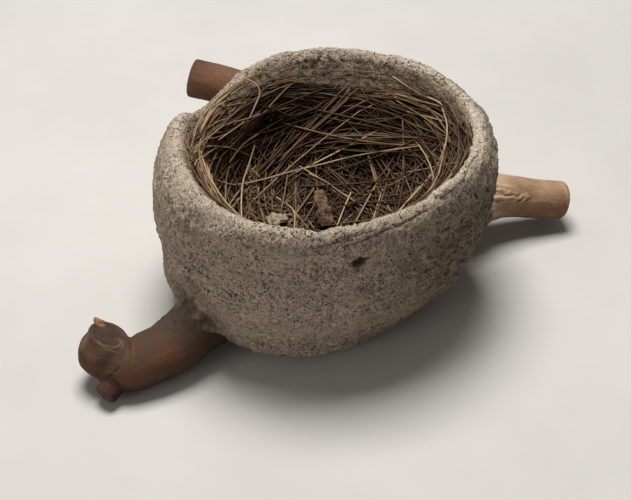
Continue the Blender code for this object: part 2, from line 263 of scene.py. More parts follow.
def thinned(piece, triangles):
    # fewer, larger faces where the surface is plain
    count = (read(piece.data.polygons, "loop_total", 1, np.int32) - 2).sum()
    if count > triangles:
        change = piece.modifiers.new("thin", "DECIMATE")
        change.ratio = triangles / count
        applyModifiers(piece)


class Finish:
    # a material under construction: each call adds one node and returns its output
    def __init__(self, name, roughness, spec=0.3):
        self.material = bpy.data.materials.new(name)
        self.material.use_nodes = True
        self.tree = self.material.node_tree
        self.shader = self.tree.nodes["Principled BSDF"]
        self.shader.inputs["Roughness"].default_value = roughness
        self.shader.inputs["Specular IOR Level"].default_value = spec
        self.place = self.node("ShaderNodeTexCoord").outputs["Object"]

    def node(self, kind, **settings):
        made = self.tree.nodes.new(kind)
        for key, value in settings.items():
            setattr(made, key, value)
        return made

    def join(self, source, socket):
        if hasattr(source, "is_output"):
            self.tree.links.new(source, socket)
        else:
            socket.default_value = source

    def scaled(self, scale, turn=(0, 0, 0), source=None):
        made = self.node("ShaderNodeMapping")
        self.tree.links.new(source or self.place, made.inputs["Vector"])
        made.inputs["Scale"].default_value = scale if hasattr(scale, "__len__") else (scale,) * 3
        made.inputs["Rotation"].default_value = turn
        return made.outputs["Vector"]

    def grain(self, scale, detail=3.0, rough=0.5, warp=0.0, source=None, turn=(0, 0, 0)):
        made = self.node("ShaderNodeTexNoise")
        self.tree.links.new(self.scaled(scale, turn, source), made.inputs["Vector"])
        for key, value in (("Scale", 1.0), ("Detail", detail), ("Roughness", rough), ("Distortion", warp)):
            made.inputs[key].default_value = value
        return made.outputs["Fac"]

    def dashes(self, cell, length, width, share, seed=0.0):
        # one short stroke in a share of the cells, flat in the surface and in a random direction: 1 where the
        # distance beside and along its own line is small enough, in millimetres
        spot = self.node("ShaderNodeTexVoronoi")
        at = self.move("ADD", self.scaled(1000.0 / cell), (seed, seed * 1.7, seed * 0.6))
        self.join(at, spot.inputs["Vector"])
        spot.inputs["Scale"].default_value = 1.0
        dice = self.node("ShaderNodeTexWhiteNoise")
        self.join(spot.outputs["Position"], dice.inputs["Vector"])
        normal = self.vector("outward")
        rel = self.flat(self.move("SUBTRACT", at, spot.outputs["Position"]), normal)
        way = self.move("SUBTRACT", spot.outputs["Color"], (0.5, 0.5, 0.5))
        way = self.move("NORMALIZE", self.flat(way, normal))
        along = self.move("DOT_PRODUCT", rel, way)
        beside = self.move("LENGTH", self.move("SUBTRACT", rel, self.grown(way, along)))
        line = self.span(beside, width / cell * 0.55, width / cell * 0.3)
        ends = self.span(self.math("ABSOLUTE", along), length / cell * 0.5, length / cell * 0.4)
        there = self.math("LESS_THAN", dice.outputs["Value"], share)
        return self.math("MULTIPLY", self.math("MULTIPLY", line, ends), there)

    def move(self, kind, one, two=None):
        made = self.node("ShaderNodeVectorMath", operation=kind)
        self.join(one, made.inputs[0])
        if two is not None:
            self.join(two, made.inputs[1])
        return made.outputs["Value" if kind in ("DOT_PRODUCT", "LENGTH") else "Vector"]

    def grown(self, vector, size):
        made = self.node("ShaderNodeVectorMath", operation="SCALE")
        self.join(vector, made.inputs[0])
        self.join(size, made.inputs["Scale"])
        return made.outputs["Vector"]

    def flat(self, vector, normal):
        # the vector without its part along the normal
        return self.move("SUBTRACT", vector, self.grown(normal, self.move("DOT_PRODUCT", vector, normal)))

    def stops(self, source, places):
        made = self.node("ShaderNodeValToRGB")
        ramp = made.color_ramp
        while len(ramp.elements) < len(places):
            ramp.elements.new(0.5)
        for element, (at, colour) in zip(ramp.elements, places):
            element.position = at
            element.color = (*colour, 1.0)
        self.tree.links.new(source, made.inputs["Fac"])
        return made.outputs["Color"]

    def span(self, source, low, high):
        # 0 at low and 1 at high, level beyond them
        made = self.node("ShaderNodeMapRange")
        self.tree.links.new(source, made.inputs["Value"])
        made.inputs["From Min"].default_value, made.inputs["From Max"].default_value = low, high
        return made.outputs["Result"]

    def mix(self, share, one, two, kind="MIX"):
        made = self.node("ShaderNodeMix", data_type="RGBA", blend_type=kind)
        self.join(share, made.inputs["Factor"])
        for source, socket in ((one, made.inputs[6]), (two, made.inputs[7])):
            self.join(source if hasattr(source, "is_output") else (*source, 1.0), socket)
        return made.outputs[2]

    def math(self, kind, one, two=0.0):
        made = self.node("ShaderNodeMath", operation=kind)
        self.join(one, made.inputs[0])
        self.join(two, made.inputs[1])
        return made.outputs[0]

    def times(self, one, two):
        return self.math("MULTIPLY", one, two)

    def most(self, *sources):
        out = sources[0]
        for source in sources[1:]:
            out = self.math("MAXIMUM", out, source)
        return out

    def value(self, name):
        return self.node("ShaderNodeAttribute", attribute_name=name).outputs["Fac"]

    def vector(self, name):
        return self.node("ShaderNodeAttribute", attribute_name=name).outputs["Vector"]

    def layered(self, out, layers, kind="MIX"):
        # colours laid over out: the noise each follows, its share, and its stops along that noise
        for source, share, places in layers:
            out = self.mix(share, out, self.stops(source, ramp(*places)), kind)
        return out

    def stained(self, out, stains, kind="MIX"):
        # colours laid over out as strongly as the value of that name, or another node's output, says
        for source, strength, colour in stains:
            source = self.value(source) if isinstance(source, str) else source
            colour = colour if hasattr(colour, "is_output") else srgb(*colour)
            out = self.mix(self.times(source, strength), out, colour, kind)
        return out

    def bump(self, height, strength, distance):
        made = self.node("ShaderNodeBump")
        made.inputs["Strength"].default_value = strength
        made.inputs["Distance"].default_value = distance * mm
        self.tree.links.new(height, made.inputs["Height"])
        self.tree.links.new(made.outputs["Normal"], self.shader.inputs["Normal"])

    def colour(self, source):
        self.tree.links.new(source, self.shader.inputs["Base Color"])
        return self.material


def srgb(r, g, b):
    # a colour as seen on screen, 0 to 255, in the linear values that a shader takes
    return tuple(((c / 255 + 0.055) / 1.055) ** 2.4 if c > 10 else c / 255 / 12.92 for c in (r, g, b))


def ramp(*places):
    # colour stops from (place, r, g, b) rows
    return [(at, srgb(*colour)) for at, *colour in places]


bowl = {
    # height, centre x, centre y, radius x, radius y, from the foot up to the crest of the rim
    "outside": [
        (0.0, -10.0, -12.0, 31.0, 32.0), (2.5, -9.5, -11.5, 40.0, 41.0), (8.0, -8.5, -10.5, 50.0, 49.2),
        (20.0, -6.8, -7.5, 65.3, 56.4), (31.0, -3.9, -6.5, 69.8, 62.7), (42.0, -1.9, -5.5, 72.4, 67.0),
        (54.0, -0.9, -3.0, 74.8, 69.3), (66.0, -0.1, -1.0, 75.4, 70.3), (74.0, 0.5, -1.5, 74.5, 70.8),
        (80.0, 0.5, -1.5, 72.3, 70.3), (84.5, 0.3, -1.2, 68.6, 68.8), (87.0, 0.3, -1.0, 65.2, 66.6),
    ],
    "inside": [
        (86.4, 0.6, -1.0, 63.2, 64.4), (83.5, 0.9, -1.1, 61.4, 62.6), (78.0, 0.8, -1.2, 60.2, 60.8),
        (68.0, 0.2, -1.2, 58.6, 58.6), (56.0, -1.0, -2.0, 55.2, 54.0), (44.0, -2.5, -3.0, 48.5, 46.5),
        (35.5, -3.5, -3.5, 38.0, 36.0), (31.5, -4.0, -4.0, 24.0, 23.0), (30.5, -4.0, -4.0, 10.0, 10.0),
    ],
    "rimHeight": 87.0, "rimSlope": 0.039, "rimWave": 0.8, "planOval": 0.027, "planCorner": 0.011,
    "backBulge": 12.0, "backBulgeHeight": 34.0, "backBulgeReach": 19.0,
    # the lip steps out at one turn in degrees and back in at its end, and is recessed before it
    "lipStep": 1.8, "lipStepAngle": 163.0, "lipEndAngle": 182.0,
    "lipRecess": 5.2, "lipRecessAngle": 144.0, "lipRecessReach": 20.0,
    "frontLean": 3.4,                                    # how far the crest leans outward at the front
    # how far the rim's inner edge is worn back at the right, round which turn and how widely, in degrees
    "rimHollow": 3.0, "rimHollowAngle": 335.0, "rimHollowReach": 21.0,
    # x, y, z and radius of the mud drawn out along each limb
    "collars": [
        [(-22, -28, 16.5, 13.0), (-36, -35, 18.4, 15.8), (-45, -41.0, 20.0, 15.8), (-52, -45.8, 20.4, 13.4),
         (-58, -51.0, 18.7, 11.5), (-64, -56.4, 17.0, 10.8), (-70, -61.6, 14.8, 10.7)],
        [(26, 3, 17.0, 13.0), (40, 16, 18.2, 16.8), (56, 28, 20.2, 16.5), (66, 32.2, 21.0, 14.2),
         (75, 35.6, 21.0, 12.7)],
        [(57, 36, 22.0, 12.5), (48, 46.5, 25.5, 13.8), (34, 57, 29.5, 14.5), (8, 70, 36.5, 14.0),
         (-12, 79, 41.0, 12.0), (-25, 84.5, 43.6, 10.4)],
    ],
    "cell": 0.55,
    "triangles": 196000,
}
lining = {
    # where the mat's edge lies, as a share of the inside profile, and where and how widely it rises
    "top": 0.285, "bottom": 0.985, "rise": 0.20, "riseAngle": 152.0, "riseReach": 48.0,
    "edge": 2.0, "wall": 5.0, "floor": 6.5,              # how thick the mat is
    "centre": (0.0, -1.0, 82.0),                         # stems lie round this point
    "coverRadius": 60, "covers": (28, 66),               # it hides the mud within this radius and height
    "turns": 180,                                        # steps round the bowl in the tables
}


def cupPoints(profile, angle, place):
    # centre + radius (cos, sin), with an oval, three-cornered plan, a bulge behind, a step at the left of
    # the lip, and a crest that climbs towards +x and waves
    height, centreX, centreY, radiusX, radiusY = np.moveaxis(spline(bowl[profile], place), -1, 0)
    plan = 1 + bowl["planOval"] * np.sin(2 * angle) + bowl["planCorner"] * np.cos(3 * angle)
    share = height / bowl["rimHeight"]
    back = np.maximum(0.0, np.sin(angle - math.radians(10))) ** 2
    bulge = bowl["backBulge"] * back * bell(height, bowl["backBulgeHeight"], bowl["backBulgeReach"])
    bulge = bulge if profile == "outside" else 0.0
    turn = np.degrees(angle) % 360
    onset = 1 / (1 + np.exp(np.clip((bowl["lipStepAngle"] - turn) / 0.45, -60, 60)))
    past = bowl["lipStep"] * onset / (1 + np.exp((turn - bowl["lipEndAngle"]) / 5))
    before = bowl["lipRecess"] * (1 - onset) * bell(turn, bowl["lipRecessAngle"], bowl["lipRecessReach"])
    step = (past - before) * rises(share, 0.55, 0.3)
    step = step + bowl["frontLean"] * np.maximum(0, -np.sin(angle)) ** 3 * rises(share, 0.8, 0.2)
    worn = bowl["rimHollow"] * bell(turnFrom(turn, bowl["rimHollowAngle"]), 0, bowl["rimHollowReach"])
    reach = rises(share, 0.55, 0.35) if profile == "inside" else 0.8 * rises(share, 0.93, 0.07)
    step = step + worn * reach
    x = centreX + (radiusX * plan + bulge + step) * np.cos(angle)
    y = centreY + (radiusY * plan + bulge + step) * np.sin(angle)
    wave = np.sin(3 * angle + 2.6) + 0.8 * np.sin(5 * angle + 3.6) + 0.4 * np.sin(9 * angle)
    z = height + share * bowl["rimSlope"] * x + bowl["rimWave"] * wave * share**3
    z = z + 0.5 * (past - before) * share**3
    return np.stack([x, y, z], axis=-1)


def liningSurface(angle, down):
    # the wall behind the mat, the way into the bowl, and the mat's thickness; down is 0 at the mat's edge
    near = bell(turnFrom(np.degrees(angle), lining["riseAngle"]), 0, lining["riseReach"])
    top = lining["top"] - lining["rise"] * near
    place = top + (lining["bottom"] - top) * down
    wall = cupPoints("inside", angle, place)
    along = cupPoints("inside", angle, place - 1e-3) - wall
    around = cupPoints("inside", angle + 1e-3, place) - wall
    thicknesses = [lining[part] for part in ("edge", "wall", "wall", "floor")]
    return wall, unit(np.cross(along, around)), np.interp(down, [0, 0.12, 0.6, 1], thicknesses)


def pathTube(rows, sides, steps, knots=0.0, dome=0.0, flat=1.0):
    # rings along the smooth curve through x, y, z, radius rows: centre + radius (cos a across + flat sin a
    # above); knots makes them uneven, and dome rounds the ends as a quarter circle
    fine = spline(rows, np.linspace(0, 1, 800))
    run = np.concatenate([[0], np.cumsum(np.linalg.norm(np.diff(fine[:, :3], axis=0), axis=1))])
    wanted = np.linspace(0, run[-1], steps)
    worn = 0.0
    if dome:
        corner = dome * np.linspace(0.05, 1.0, 9)
        wanted = np.sort(np.concatenate([wanted, corner, run[-1] - corner]))
        fromEnd = np.clip(np.minimum(wanted, run[-1] - wanted) / dome, 0, 1)
        worn = dome * (1 - np.sqrt(1 - (1 - fromEnd) ** 2))
    line = np.stack([np.interp(wanted, run, fine[:, k]) for k in range(4)], axis=1)
    centre, radius = line[:, :3], line[:, 3] - worn
    ahead = unit(np.gradient(centre, axis=0))
    helper = np.where(np.abs(ahead[:, 2:]) > 0.9, [[1.0, 0, 0]], [[0, 0, 1.0]])
    across = unit(np.cross(ahead, helper))
    above = np.cross(across, ahead)
    turn = np.linspace(2 * math.pi, 0, sides, endpoint=False)
    uneven = 1 + knots * (np.sin(2 * turn + 0.05 * wanted[:, None])
                          + 0.6 * np.sin(3 * turn - 0.09 * wanted[:, None] + 1))
    turn = turn[None, :, None]
    ring = np.cos(turn) * across[:, None] + flat * np.sin(turn) * above[:, None]
    return centre[:, None] + (radius[:, None] * uneven)[..., None] * ring


view = {
    "elevation": 39.04, "target": (-4.0, 0.0, 19.0), "distance": 760.0, "lens": 94.1, "sensor": 36.0,
    "photo": (631, 500),                                 # width and height of the photograph, in pixels
    "frontRow": 165,                                     # the row from which the bowl's front half is seen
    "nearby": 13,                                        # how many pixels off a place may be found
}


def cameraFrame():
    # where the camera stands, and its right, up and forward directions
    tilt = math.radians(view["elevation"])
    forward = np.array([0.0, math.cos(tilt), -math.sin(tilt)])
    up = np.array([0.0, math.sin(tilt), math.cos(tilt)])
    return np.array(view["target"]) - view["distance"] * forward, np.array([1.0, 0, 0]), up, forward


def addCamera():
    lens = bpy.data.cameras.new("camera")
    lens.lens, lens.sensor_width, lens.clip_start = view["lens"], view["sensor"], 0.02
    camera = bpy.data.objects.new("camera", lens)
    camera.location = cameraFrame()[0] * mm
    camera.rotation_euler = (math.radians(90 - view["elevation"]), 0, 0)
    bpy.context.scene.collection.objects.link(camera)
    bpy.context.scene.camera = camera


def seen(pieces, spots, floor=None):
    # for places in the photograph, in pixels: the nearest point of the pieces behind each, or behind a
    # pixel near it; in the front half of the bowl only the piece numbered floor will do
    place, right, up, forward = cameraFrame()
    width, height = view["photo"]
    focal = view["lens"] / view["sensor"] * width
    held = bpy.context.evaluated_depsgraph_get()
    trees = [BVHTree.FromObject(piece, held) for piece in pieces]
    rounds = [(r, a) for r in range(1, view["nearby"] + 1) for a in np.linspace(0, 6, 12)]
    near = [(0.0, 0.0)] + [(r * math.cos(a), r * math.sin(a)) for r, a in rounds]
    found = []
    for x, y in spots:
        for moveX, moveY in near:
            way = unit(forward * focal + right * (x + moveX - width / 2) + up * (height / 2 - y - moveY))
            casts = [tree.ray_cast(Vector(place * mm), Vector(way)) for tree in trees]
            hits = sorted((cast[3], number, tuple(cast[0]))
                          for number, cast in enumerate(casts) if cast[0] is not None)
            if hits and (floor is None or y < view["frontRow"] or hits[0][1] == floor):
                found.append(np.array(hits[0][2]) / mm)
                break
        else:
            raise ValueError(f"nothing is seen at {x}, {y}")
    return np.array(found)


light = {
    # name: place, size in metres, watts, colour
    "skyPanel": ((-0.07, 0.20, 1.10), 0.50, 17.5, (1.0, 0.985, 0.96)),
    "frontPanel": ((-1.05, -0.90, 0.30), 0.50, 6.0, (1.0, 0.97, 0.93)),
}


room = {
    "floorReach": 4000.0,                                # millimetres from the middle to each edge
    "colour": (1.0, 0.98, 0.95, 1.0), "strength": 0.16,  # the light from all round
    "lampsFace": (0, 0, 0.04),                           # the place that the lamps are turned to, in metres
}


def addStage():
    edge = room["floorReach"]
    paint = Finish("paleFloor", 0.85, 0.2)
    paint.colour(paint.stops(paint.grain(9.0, 4.0, 0.6), ramp((0.3, 186, 184, 180), (0.7, 194, 192, 188))))
    addPiece("floor", [(-edge, -edge, 0), (edge, -edge, 0), (edge, edge, 0), (-edge, edge, 0)],
                      [(0, 1, 2, 3)], paint.material)
    for name, (place, size, watts, colour) in light.items():
        lamp = bpy.data.lights.new(name, "AREA")
        lamp.size, lamp.energy, lamp.color = size, watts, colour
        holder = bpy.data.objects.new(name, lamp)
        holder.location = place
        toward = Vector(room["lampsFace"]) - Vector(place)
        holder.rotation_euler = toward.to_track_quat("-Z", "Y").to_euler()
        bpy.context.scene.collection.objects.link(holder)
    world = bpy.data.worlds.new("room")
    world.use_nodes = True
    background = world.node_tree.nodes["Background"]
    background.inputs["Color"].default_value = room["colour"]
    background.inputs["Strength"].default_value = room["strength"]
    bpy.context.scene.world = world
    bpy.context.scene.view_settings.view_transform = "Standard"


addCamera()
addStage()
print("camera, floor and lights")


def scored(piece, points, marks):
    # for each kind of mark: how deep it dents the surface, and how strongly it colours it, at each point
    dent, tint = np.zeros(len(points)), {}
    for kind, width, depth, spots in marks:
        line = spline(seen([piece], spots), np.linspace(0, 1, 24 * len(spots)))
        taper = np.interp(np.linspace(0, 1, len(line)), [0, 0.2, 0.8, 1], [0.45, 1, 1, 0.45])
        reach = 2.6 * width
        close = np.flatnonzero(((points > line.min(0) - reach) & (points < line.max(0) + reach)).all(-1))
        if len(close) == 0:
            continue
        ragged = width * taper * (1 + 0.3 * noise(line, 2.2, 41))
        gap = np.linalg.norm(points[close, None] - line[None], axis=-1) / ragged
        mark = np.exp(-(gap.min(axis=1) ** 2))
        dent[close] += depth * mark
        tint.setdefault(kind, np.zeros(len(points)))
        edge = (4.0, 1.6) if kind == "shadedHole" else (1.5, 0.2)
        tint[kind][close] = np.maximum(tint[kind][close], np.clip(edge[0] * mark - edge[1], 0, 1))
    return dent, tint


mud = {
    "courses": 0.80, "knobs": 0.50, "grit": 0.26, "crumbs": 1.5,
    # cell, length, half width and height of the strokes pressed into it or standing on it
    "strokes": [(6.2, 2.2, 0.44, -0.50), (3.4, 1.2, 0.40, -0.36), (3.6, 3.0, 0.36, 0.30)],
    # marks in the photograph: kind, half width and depth in millimetres, and pixels along them
    "marks": [
        ("dark", 0.45, 0.45, [(306, 250), (320, 247), (336, 243), (352, 240)]),
        ("dark", 0.46, 0.50, [(343, 247), (365, 240), (385, 231), (400, 225), (420, 214), (440, 203)]),
        ("dark", 0.32, 0.30, [(470, 166), (464, 177), (455, 188), (441, 200)]),
        ("dark", 0.30, 0.26, [(462, 168), (452, 178), (442, 187)]),
        ("dark", 0.36, 0.34, [(330, 244), (352, 237), (372, 231)]),
        ("pale", 0.60, -0.30, [(272, 260), (290, 260), (305, 259), (333, 254)]),
        ("shadedHole", 2.90, 1.80, [(358, 264.3), (360.5, 263.4)]),
        ("shadedHole", 0.70, 0.50, [(363, 262.5), (371, 259.5)]), ("dark", 0.45, 0.50, [(209, 248), (217, 257)]),
        ("dark", 0.40, 0.40, [(194, 269), (202, 274), (210, 279)]),
        ("shadedHole", 0.42, 0.50, [(221, 287), (233, 297)]), ("shadedHole", 0.36, 0.40, [(229, 289), (237, 296)]),
        ("dark", 0.60, 0.50, [(174, 286), (179, 290)]), ("dark", 0.70, 0.60, [(255, 258), (259, 261)]),
        ("dark", 0.60, 0.50, [(250, 264), (252, 265)]), ("dark", 0.70, 0.60, [(284, 268), (289, 270)]),
        ("dark", 0.60, 0.50, [(315, 263), (318, 267)]), ("dark", 0.60, 0.60, [(342, 256), (345, 257)]),
        ("dark", 0.60, 0.60, [(314, 291), (316, 292)]), ("dark", 0.50, 0.50, [(476, 156), (467, 168)]),
        ("dark", 0.80, 0.70, [(490, 161), (492, 167)]), ("dark", 0.70, 0.50, [(478, 140), (481, 142)]),
        ("dark", 0.70, 0.60, [(475, 193), (477, 198)]), ("dark", 0.60, 0.60, [(450, 226), (441, 231)]),
        ("dark", 0.70, 0.70, [(486, 188), (489, 192)]), ("dark", 0.60, 0.50, [(246, 247), (251, 246)]),
        # the broken crust on the rim behind, and the dip in the rim in front
        ("pale", 1.10, -0.70, [(298, 58), (303, 60)]), ("pale", 1.20, -0.80, [(309, 56), (316, 59)]),
        ("pale", 1.00, -0.60, [(322, 60), (328, 61)]), ("pale", 1.10, -0.70, [(333, 58), (339, 61)]),
        ("dark", 0.60, 0.50, [(305, 61), (308, 63)]), ("dark", 0.60, 0.50, [(319, 57), (320, 62)]),
        ("dark", 0.60, 0.50, [(330, 57), (331, 62)]), ("dark", 0.50, 0.40, [(341, 60), (345, 63)]),
        ("dip", 3.20, 1.50, [(312, 228), (318, 229), (324, 228)]),
        ("rust", 1.60, -0.10, [(198, 303), (201, 308)]), ("rust", 1.00, 0.00, [(196, 296), (199, 299)]),
        ("blush", 2.60, 0.00, [(283, 325), (285, 331)]), ("blush", 3.00, 0.00, [(226, 272), (250, 279)]),
        ("blush", 2.40, 0.00, [(268, 254), (276, 258)]),
    ],
    # dashes in its colour: cell, length, half width, share of the cells, and where their pattern starts
    "pits": [(1.3, 0.7, 0.40, 0.36, 11.3), (2.1, 1.1, 0.60, 0.42, 17.9), (3.9, 2.2, 0.50, 0.40, 23.5)],
    "straws": [(2.3, 2.0, 0.24, 0.45, 3.1), (3.9, 4.2, 0.28, 0.35, 7.7)],
    # the crest is painted paler as a highlight, centred at this height
    "crestHeight": 87.5,                                 # where the rim is palest
    # where crumbs cling, and where the mud is painted darker as shade at the right front: x from, z below, y
    # before, each with how gently it fades
    "crumbsAt": [(30, 22), (78, 18), (34, 16)], "rightFrontShadeAt": [(5, 45), (84, 20), (20, 30)],
    "moreCrumbs": (-58, -52, 9),                         # x, y and reach of those by the front collar
    "lip": (-66.6, 21.6, 86.0),                          # the step at the left of the rim
    # where the mud is only a smooth film: the end of the front collar, and how far the film reaches over it
    "filmEnd": (-66.0, -58.0, 18.0), "filmReach": 14.5,
}


def mudFinish():
    made = Finish("mud", 0.92, 0.12)
    mottle = made.grain(190.0, 5.0, 0.6, 0.4)
    fine = made.grain(1700.0, 3.0, 0.65)
    # matted fibres: noise drawn out into curls, darker where it lies low
    curl = made.grain(520.0, 3.0, 0.62, 2.2)
    knot = made.grain(230.0, 4.0, 0.6, 1.6)
    out = made.stops(made.grain(30.0, 4.0, 0.6), ramp(
        (0.34, 122, 110, 98), (0.46, 156, 140, 124), (0.54, 164, 143, 125), (0.66, 160, 150, 130)))
    out = made.layered(out, [
        (mottle, 0.50, [(0.34, 116, 101, 87), (0.5, 162, 145, 129), (0.68, 200, 183, 164)]),
        (fine, 0.24, [(0.32, 92, 78, 66), (0.52, 152, 138, 122), (0.70, 204, 190, 170)]),
        (curl, 0.44, [(0.34, 66, 48, 37), (0.43, 128, 111, 95), (0.53, 176, 159, 141),
                      (0.64, 224, 208, 186)]),
        (knot, 0.26, [(0.36, 84, 69, 56), (0.5, 152, 137, 121), (0.64, 190, 174, 154)]),
    ])
    # curled fibres: thin lines where a warped noise passes through its middle value
    crowd = made.grain((62.0, 62.0, 120.0), 4.0, 0.6, 0.6)
    curls = []
    for scale, middle in ((420.0, 0.47), (560.0, 0.54), (300.0, 0.50)):
        off = made.math("SUBTRACT", made.grain(scale, 2.0, 0.5, 1.3), middle)
        curls.append(made.span(made.math("ABSOLUTE", off), 0.045, 0.012))
    broken = made.span(made.grain(900.0, 2.0, 0.5), 0.48, 0.60)
    thread = made.times(made.most(curls[0], curls[2]), made.span(crowd, 0.40, 0.62))
    groove = made.times(made.times(curls[1], broken), made.span(crowd, 0.66, 0.42))
    # short dashes: pits where the fibres are sparse, painted dark as the shade in them, and pale straws
    pits = made.most(*(made.dashes(*row) for row in mud["pits"]))
    pits = made.times(pits, made.span(crowd, 0.62, 0.44))
    straws = made.most(*(made.dashes(*row) for row in mud["straws"]))
    bare = made.math("SUBTRACT", 1.0, made.value("film"))
    pale = made.times(made.most(straws, made.times(thread, 0.7)), bare)
    # painted shade in the pits and grooves, which the bump also presses in
    dark = made.times(made.most(pits, made.times(groove, 0.4)), bare)
    # the smooth film is darker towards the collar's end, partly its own colour and partly painted shade
    smooth = made.math("POWER", made.value("film"), 1.7)
    # the crest band is a painted highlight along the rim
    out = made.stained(out, [
        # the inside wall is darkened as painted shade
        ("innerShade", 0.54, (84, 66, 50)), ("crest", 0.66, (204, 188, 169)), (pale, 0.62, (206, 190, 167)),
        (dark, 0.86, (50, 35, 26)), (smooth, 0.90, (66, 54, 46)),
    ])
    # painted shade: the mud low at the right front is darkened
    out = made.stained(out, [("rightFrontShade", 0.45, (190, 184, 178))], "MULTIPLY")
    # the dark marks are dents coloured dark, partly dark fibres and partly painted shade in them
    out = made.stained(out, [
        ("blush", 0.30, (162, 126, 104)), ("rust", 0.6, (190, 150, 104)), ("pale", 0.5, (190, 174, 148)),
        # the holes are painted nearly black, as the shade inside them
        ("dark", 0.75, (52, 40, 32)), ("shadedHole", 0.92, (24, 18, 15)),
    ])
    height = made.math("ADD", made.times(curl, 2.6), made.times(knot, 3.2))
    height = made.math("ADD", height, made.times(fine, 0.6))
    made.bump(made.math("SUBTRACT", made.math("ADD", height, pale), dark), 1.0, 0.42)
    return made.colour(out)


def within(points, region):
    # 1 where x is large, z low and y low enough, falling to 0 over the distances in the region's rows
    across, below, before = region
    return rises(points[:, 0], *across) * falls(points[:, 2], *below) * falls(points[:, 1], *before)


def lumps(x, y, z):
    # low rounded lumps about 15 mm across, as a sum of crossed waves
    first = np.sin(x / 5.3 + 1.3 * np.sin(z / 9.0)) * np.sin(y / 6.1 + z / 8.3 + 0.7)
    second = np.sin((x + y) / 8.7 + 2.1) * np.sin((z - x) / 7.9 + 0.4)
    return 0.6 * first + 0.4 * second


def bowlRings():
    # rings up the outside and down the inside, moved outward by 0.7 mm of the lumps away from foot and floor
    angle = np.linspace(0, 2 * math.pi, 180, endpoint=False)[None, :]
    outside = cupPoints("outside", angle, np.linspace(0, 1, 70)[:, None] + 0 * angle)
    inside = cupPoints("inside", angle, np.linspace(0, 1, 46)[:, None] + 0 * angle)
    rings = np.concatenate([outside, inside])
    weight = np.interp(np.arange(len(rings)), [0, 7, 70, 76, 77], [0, 1, 1, 1, 0])
    outward = np.stack([np.cos(angle), np.sin(angle), 0 * angle], axis=-1)
    return rings + 0.7 * (weight[:, None] * lumps(*np.moveaxis(rings, -1, 0)))[..., None] * outward


def inwardness(points, normals):
    # how far a surface faces the upright axis of the bowl, from -1 to 1
    return -(normals[:, :2] * unit(points[:, :2] - [0, -1])).sum(-1)


def covered(points, normals):
    # true where the mat lies over the inside of the bowl
    radial = np.hypot(points[:, 0], points[:, 1] + 1)
    height = points[:, 2]
    low, high = lining["covers"]
    facing = normals[:, 2] + inwardness(points, normals) > 0
    return (radial < lining["coverRadius"]) & (height < high) & (height > low) & facing


def mudRise(points, normals, crest):
    # how far the surface stands out, as a sum of flat courses, knobs, grit and strokes, and where strokes
    # press into it
    courses = 0.6 * noise(points, (16.0, 16.0, 5.0), 3) + 0.4 * noise(points, (7.0, 7.0, 3.6), 4)
    rise = mud["courses"] * courses
    rise += mud["knobs"] * (noise(points, 4.2, 5) + 0.5 * noise(points, 2.4, 6))
    rise += mud["grit"] * noise(points, 1.4, 7) * (1 + 0.5 * crest)
    pressed = np.zeros(len(points))
    for number, (cell, length, width, height) in enumerate(mud["strokes"]):
        stroke = strokes(points, normals, cell, length, width, 50 + 9 * number)
        rise += height * stroke
        pressed = np.maximum(pressed, stroke) if height < 0 else pressed
    return rise, pressed


def makeMud():
    # the skin of the bowl and its collars, each point moved along its normal by its rise less its dents
    collars = [pathTube(rows, 48, 40, knots=0.02) for rows in bowl["collars"]]
    piece = merged("mudBowl", [bowlRings(), *collars], bowl["cell"])
    # the step in the lip stays sharp while the rest is smoothed
    lip = np.linalg.norm(getPoints(piece) - mud["lip"], axis=1)
    soften(piece, 14, 1 - 0.85 * bell(lip, 0, 9.0))
    points, normals = getPoints(piece), getNormals(piece)
    x, y, z = points.T
    dent, tint = scored(piece, points, mud["marks"])
    # painted highlight along the crest, stronger at the right and weaker behind; it also roughens the grit
    crest = bell(z - mud["crestHeight"] - bowl["rimSlope"] * x, 0, 3.5)
    crest = crest * (1 + 0.8 * np.clip(x / 60, 0, 1) - 0.35 * np.clip(y / 60, 0, 1))
    # painted shade on the upper inside wall, where it faces the bowl's axis
    innerShade = rises(inwardness(points, normals), 0.15, 0.5)
    innerShade = innerShade * falls(z, bowl["rimHeight"] + bowl["rimSlope"] * x, 4.0) * rises(z, 40, 10)
    show = np.where(covered(points, normals), 0.0, 1.0) * rises(z, 1.0, 4.0)
    rise, pressed = mudRise(points, normals, crest)
    # loose crumbs low on the right, where the mud was pushed against the limb, and by the front collar
    atX, atY, reach = mud["moreCrumbs"]
    ragged = np.maximum(within(points, mud["crumbsAt"]), bell(np.hypot(x - atX, y - atY), 0, reach))
    crumbs = np.clip(noise(points, 2.6, 8), 0, 1) + 0.5 * np.clip(noise(points, 1.5, 9), -0.2, 1)
    rise += mud["crumbs"] * ragged * crumbs
    film = 2.0 - np.linalg.norm(points - mud["filmEnd"], axis=1) / mud["filmReach"]
    film = np.clip(film + 0.35 * noise(points, 3.4, 10) + 0.2 * noise(points, 1.7, 11), 0, 1)
    setPoints(piece, points + (show * (1 - 0.45 * film) * (rise - dent))[:, None] * normals)
    # the pressed marks are painted dark as the shade in their dents, and dark fibres show among the crumbs
    fibres = 0.45 * ragged * np.clip(0.5 + 1.6 * noise(points, 2.2, 12), 0, 1)
    tint["dark"] = np.maximum(tint["dark"], show * (0.4 * pressed + fibres))
    values = {kind: tint[kind] for kind in ("dark", "pale", "rust", "blush", "shadedHole")}
    values |= {"outward": normals, "film": film, "crest": crest, "innerShade": innerShade}
    # painted shade at the right front, low down
    values["rightFrontShade"] = within(points, mud["rightFrontShadeAt"])
    for kind, data in values.items():
        addValue(piece.data, kind, data)
    thinned(piece, bowl["triangles"])
    piece.data.materials.append(mudFinish())
    dress(piece, "mud", ["mud_cup"])
    return piece


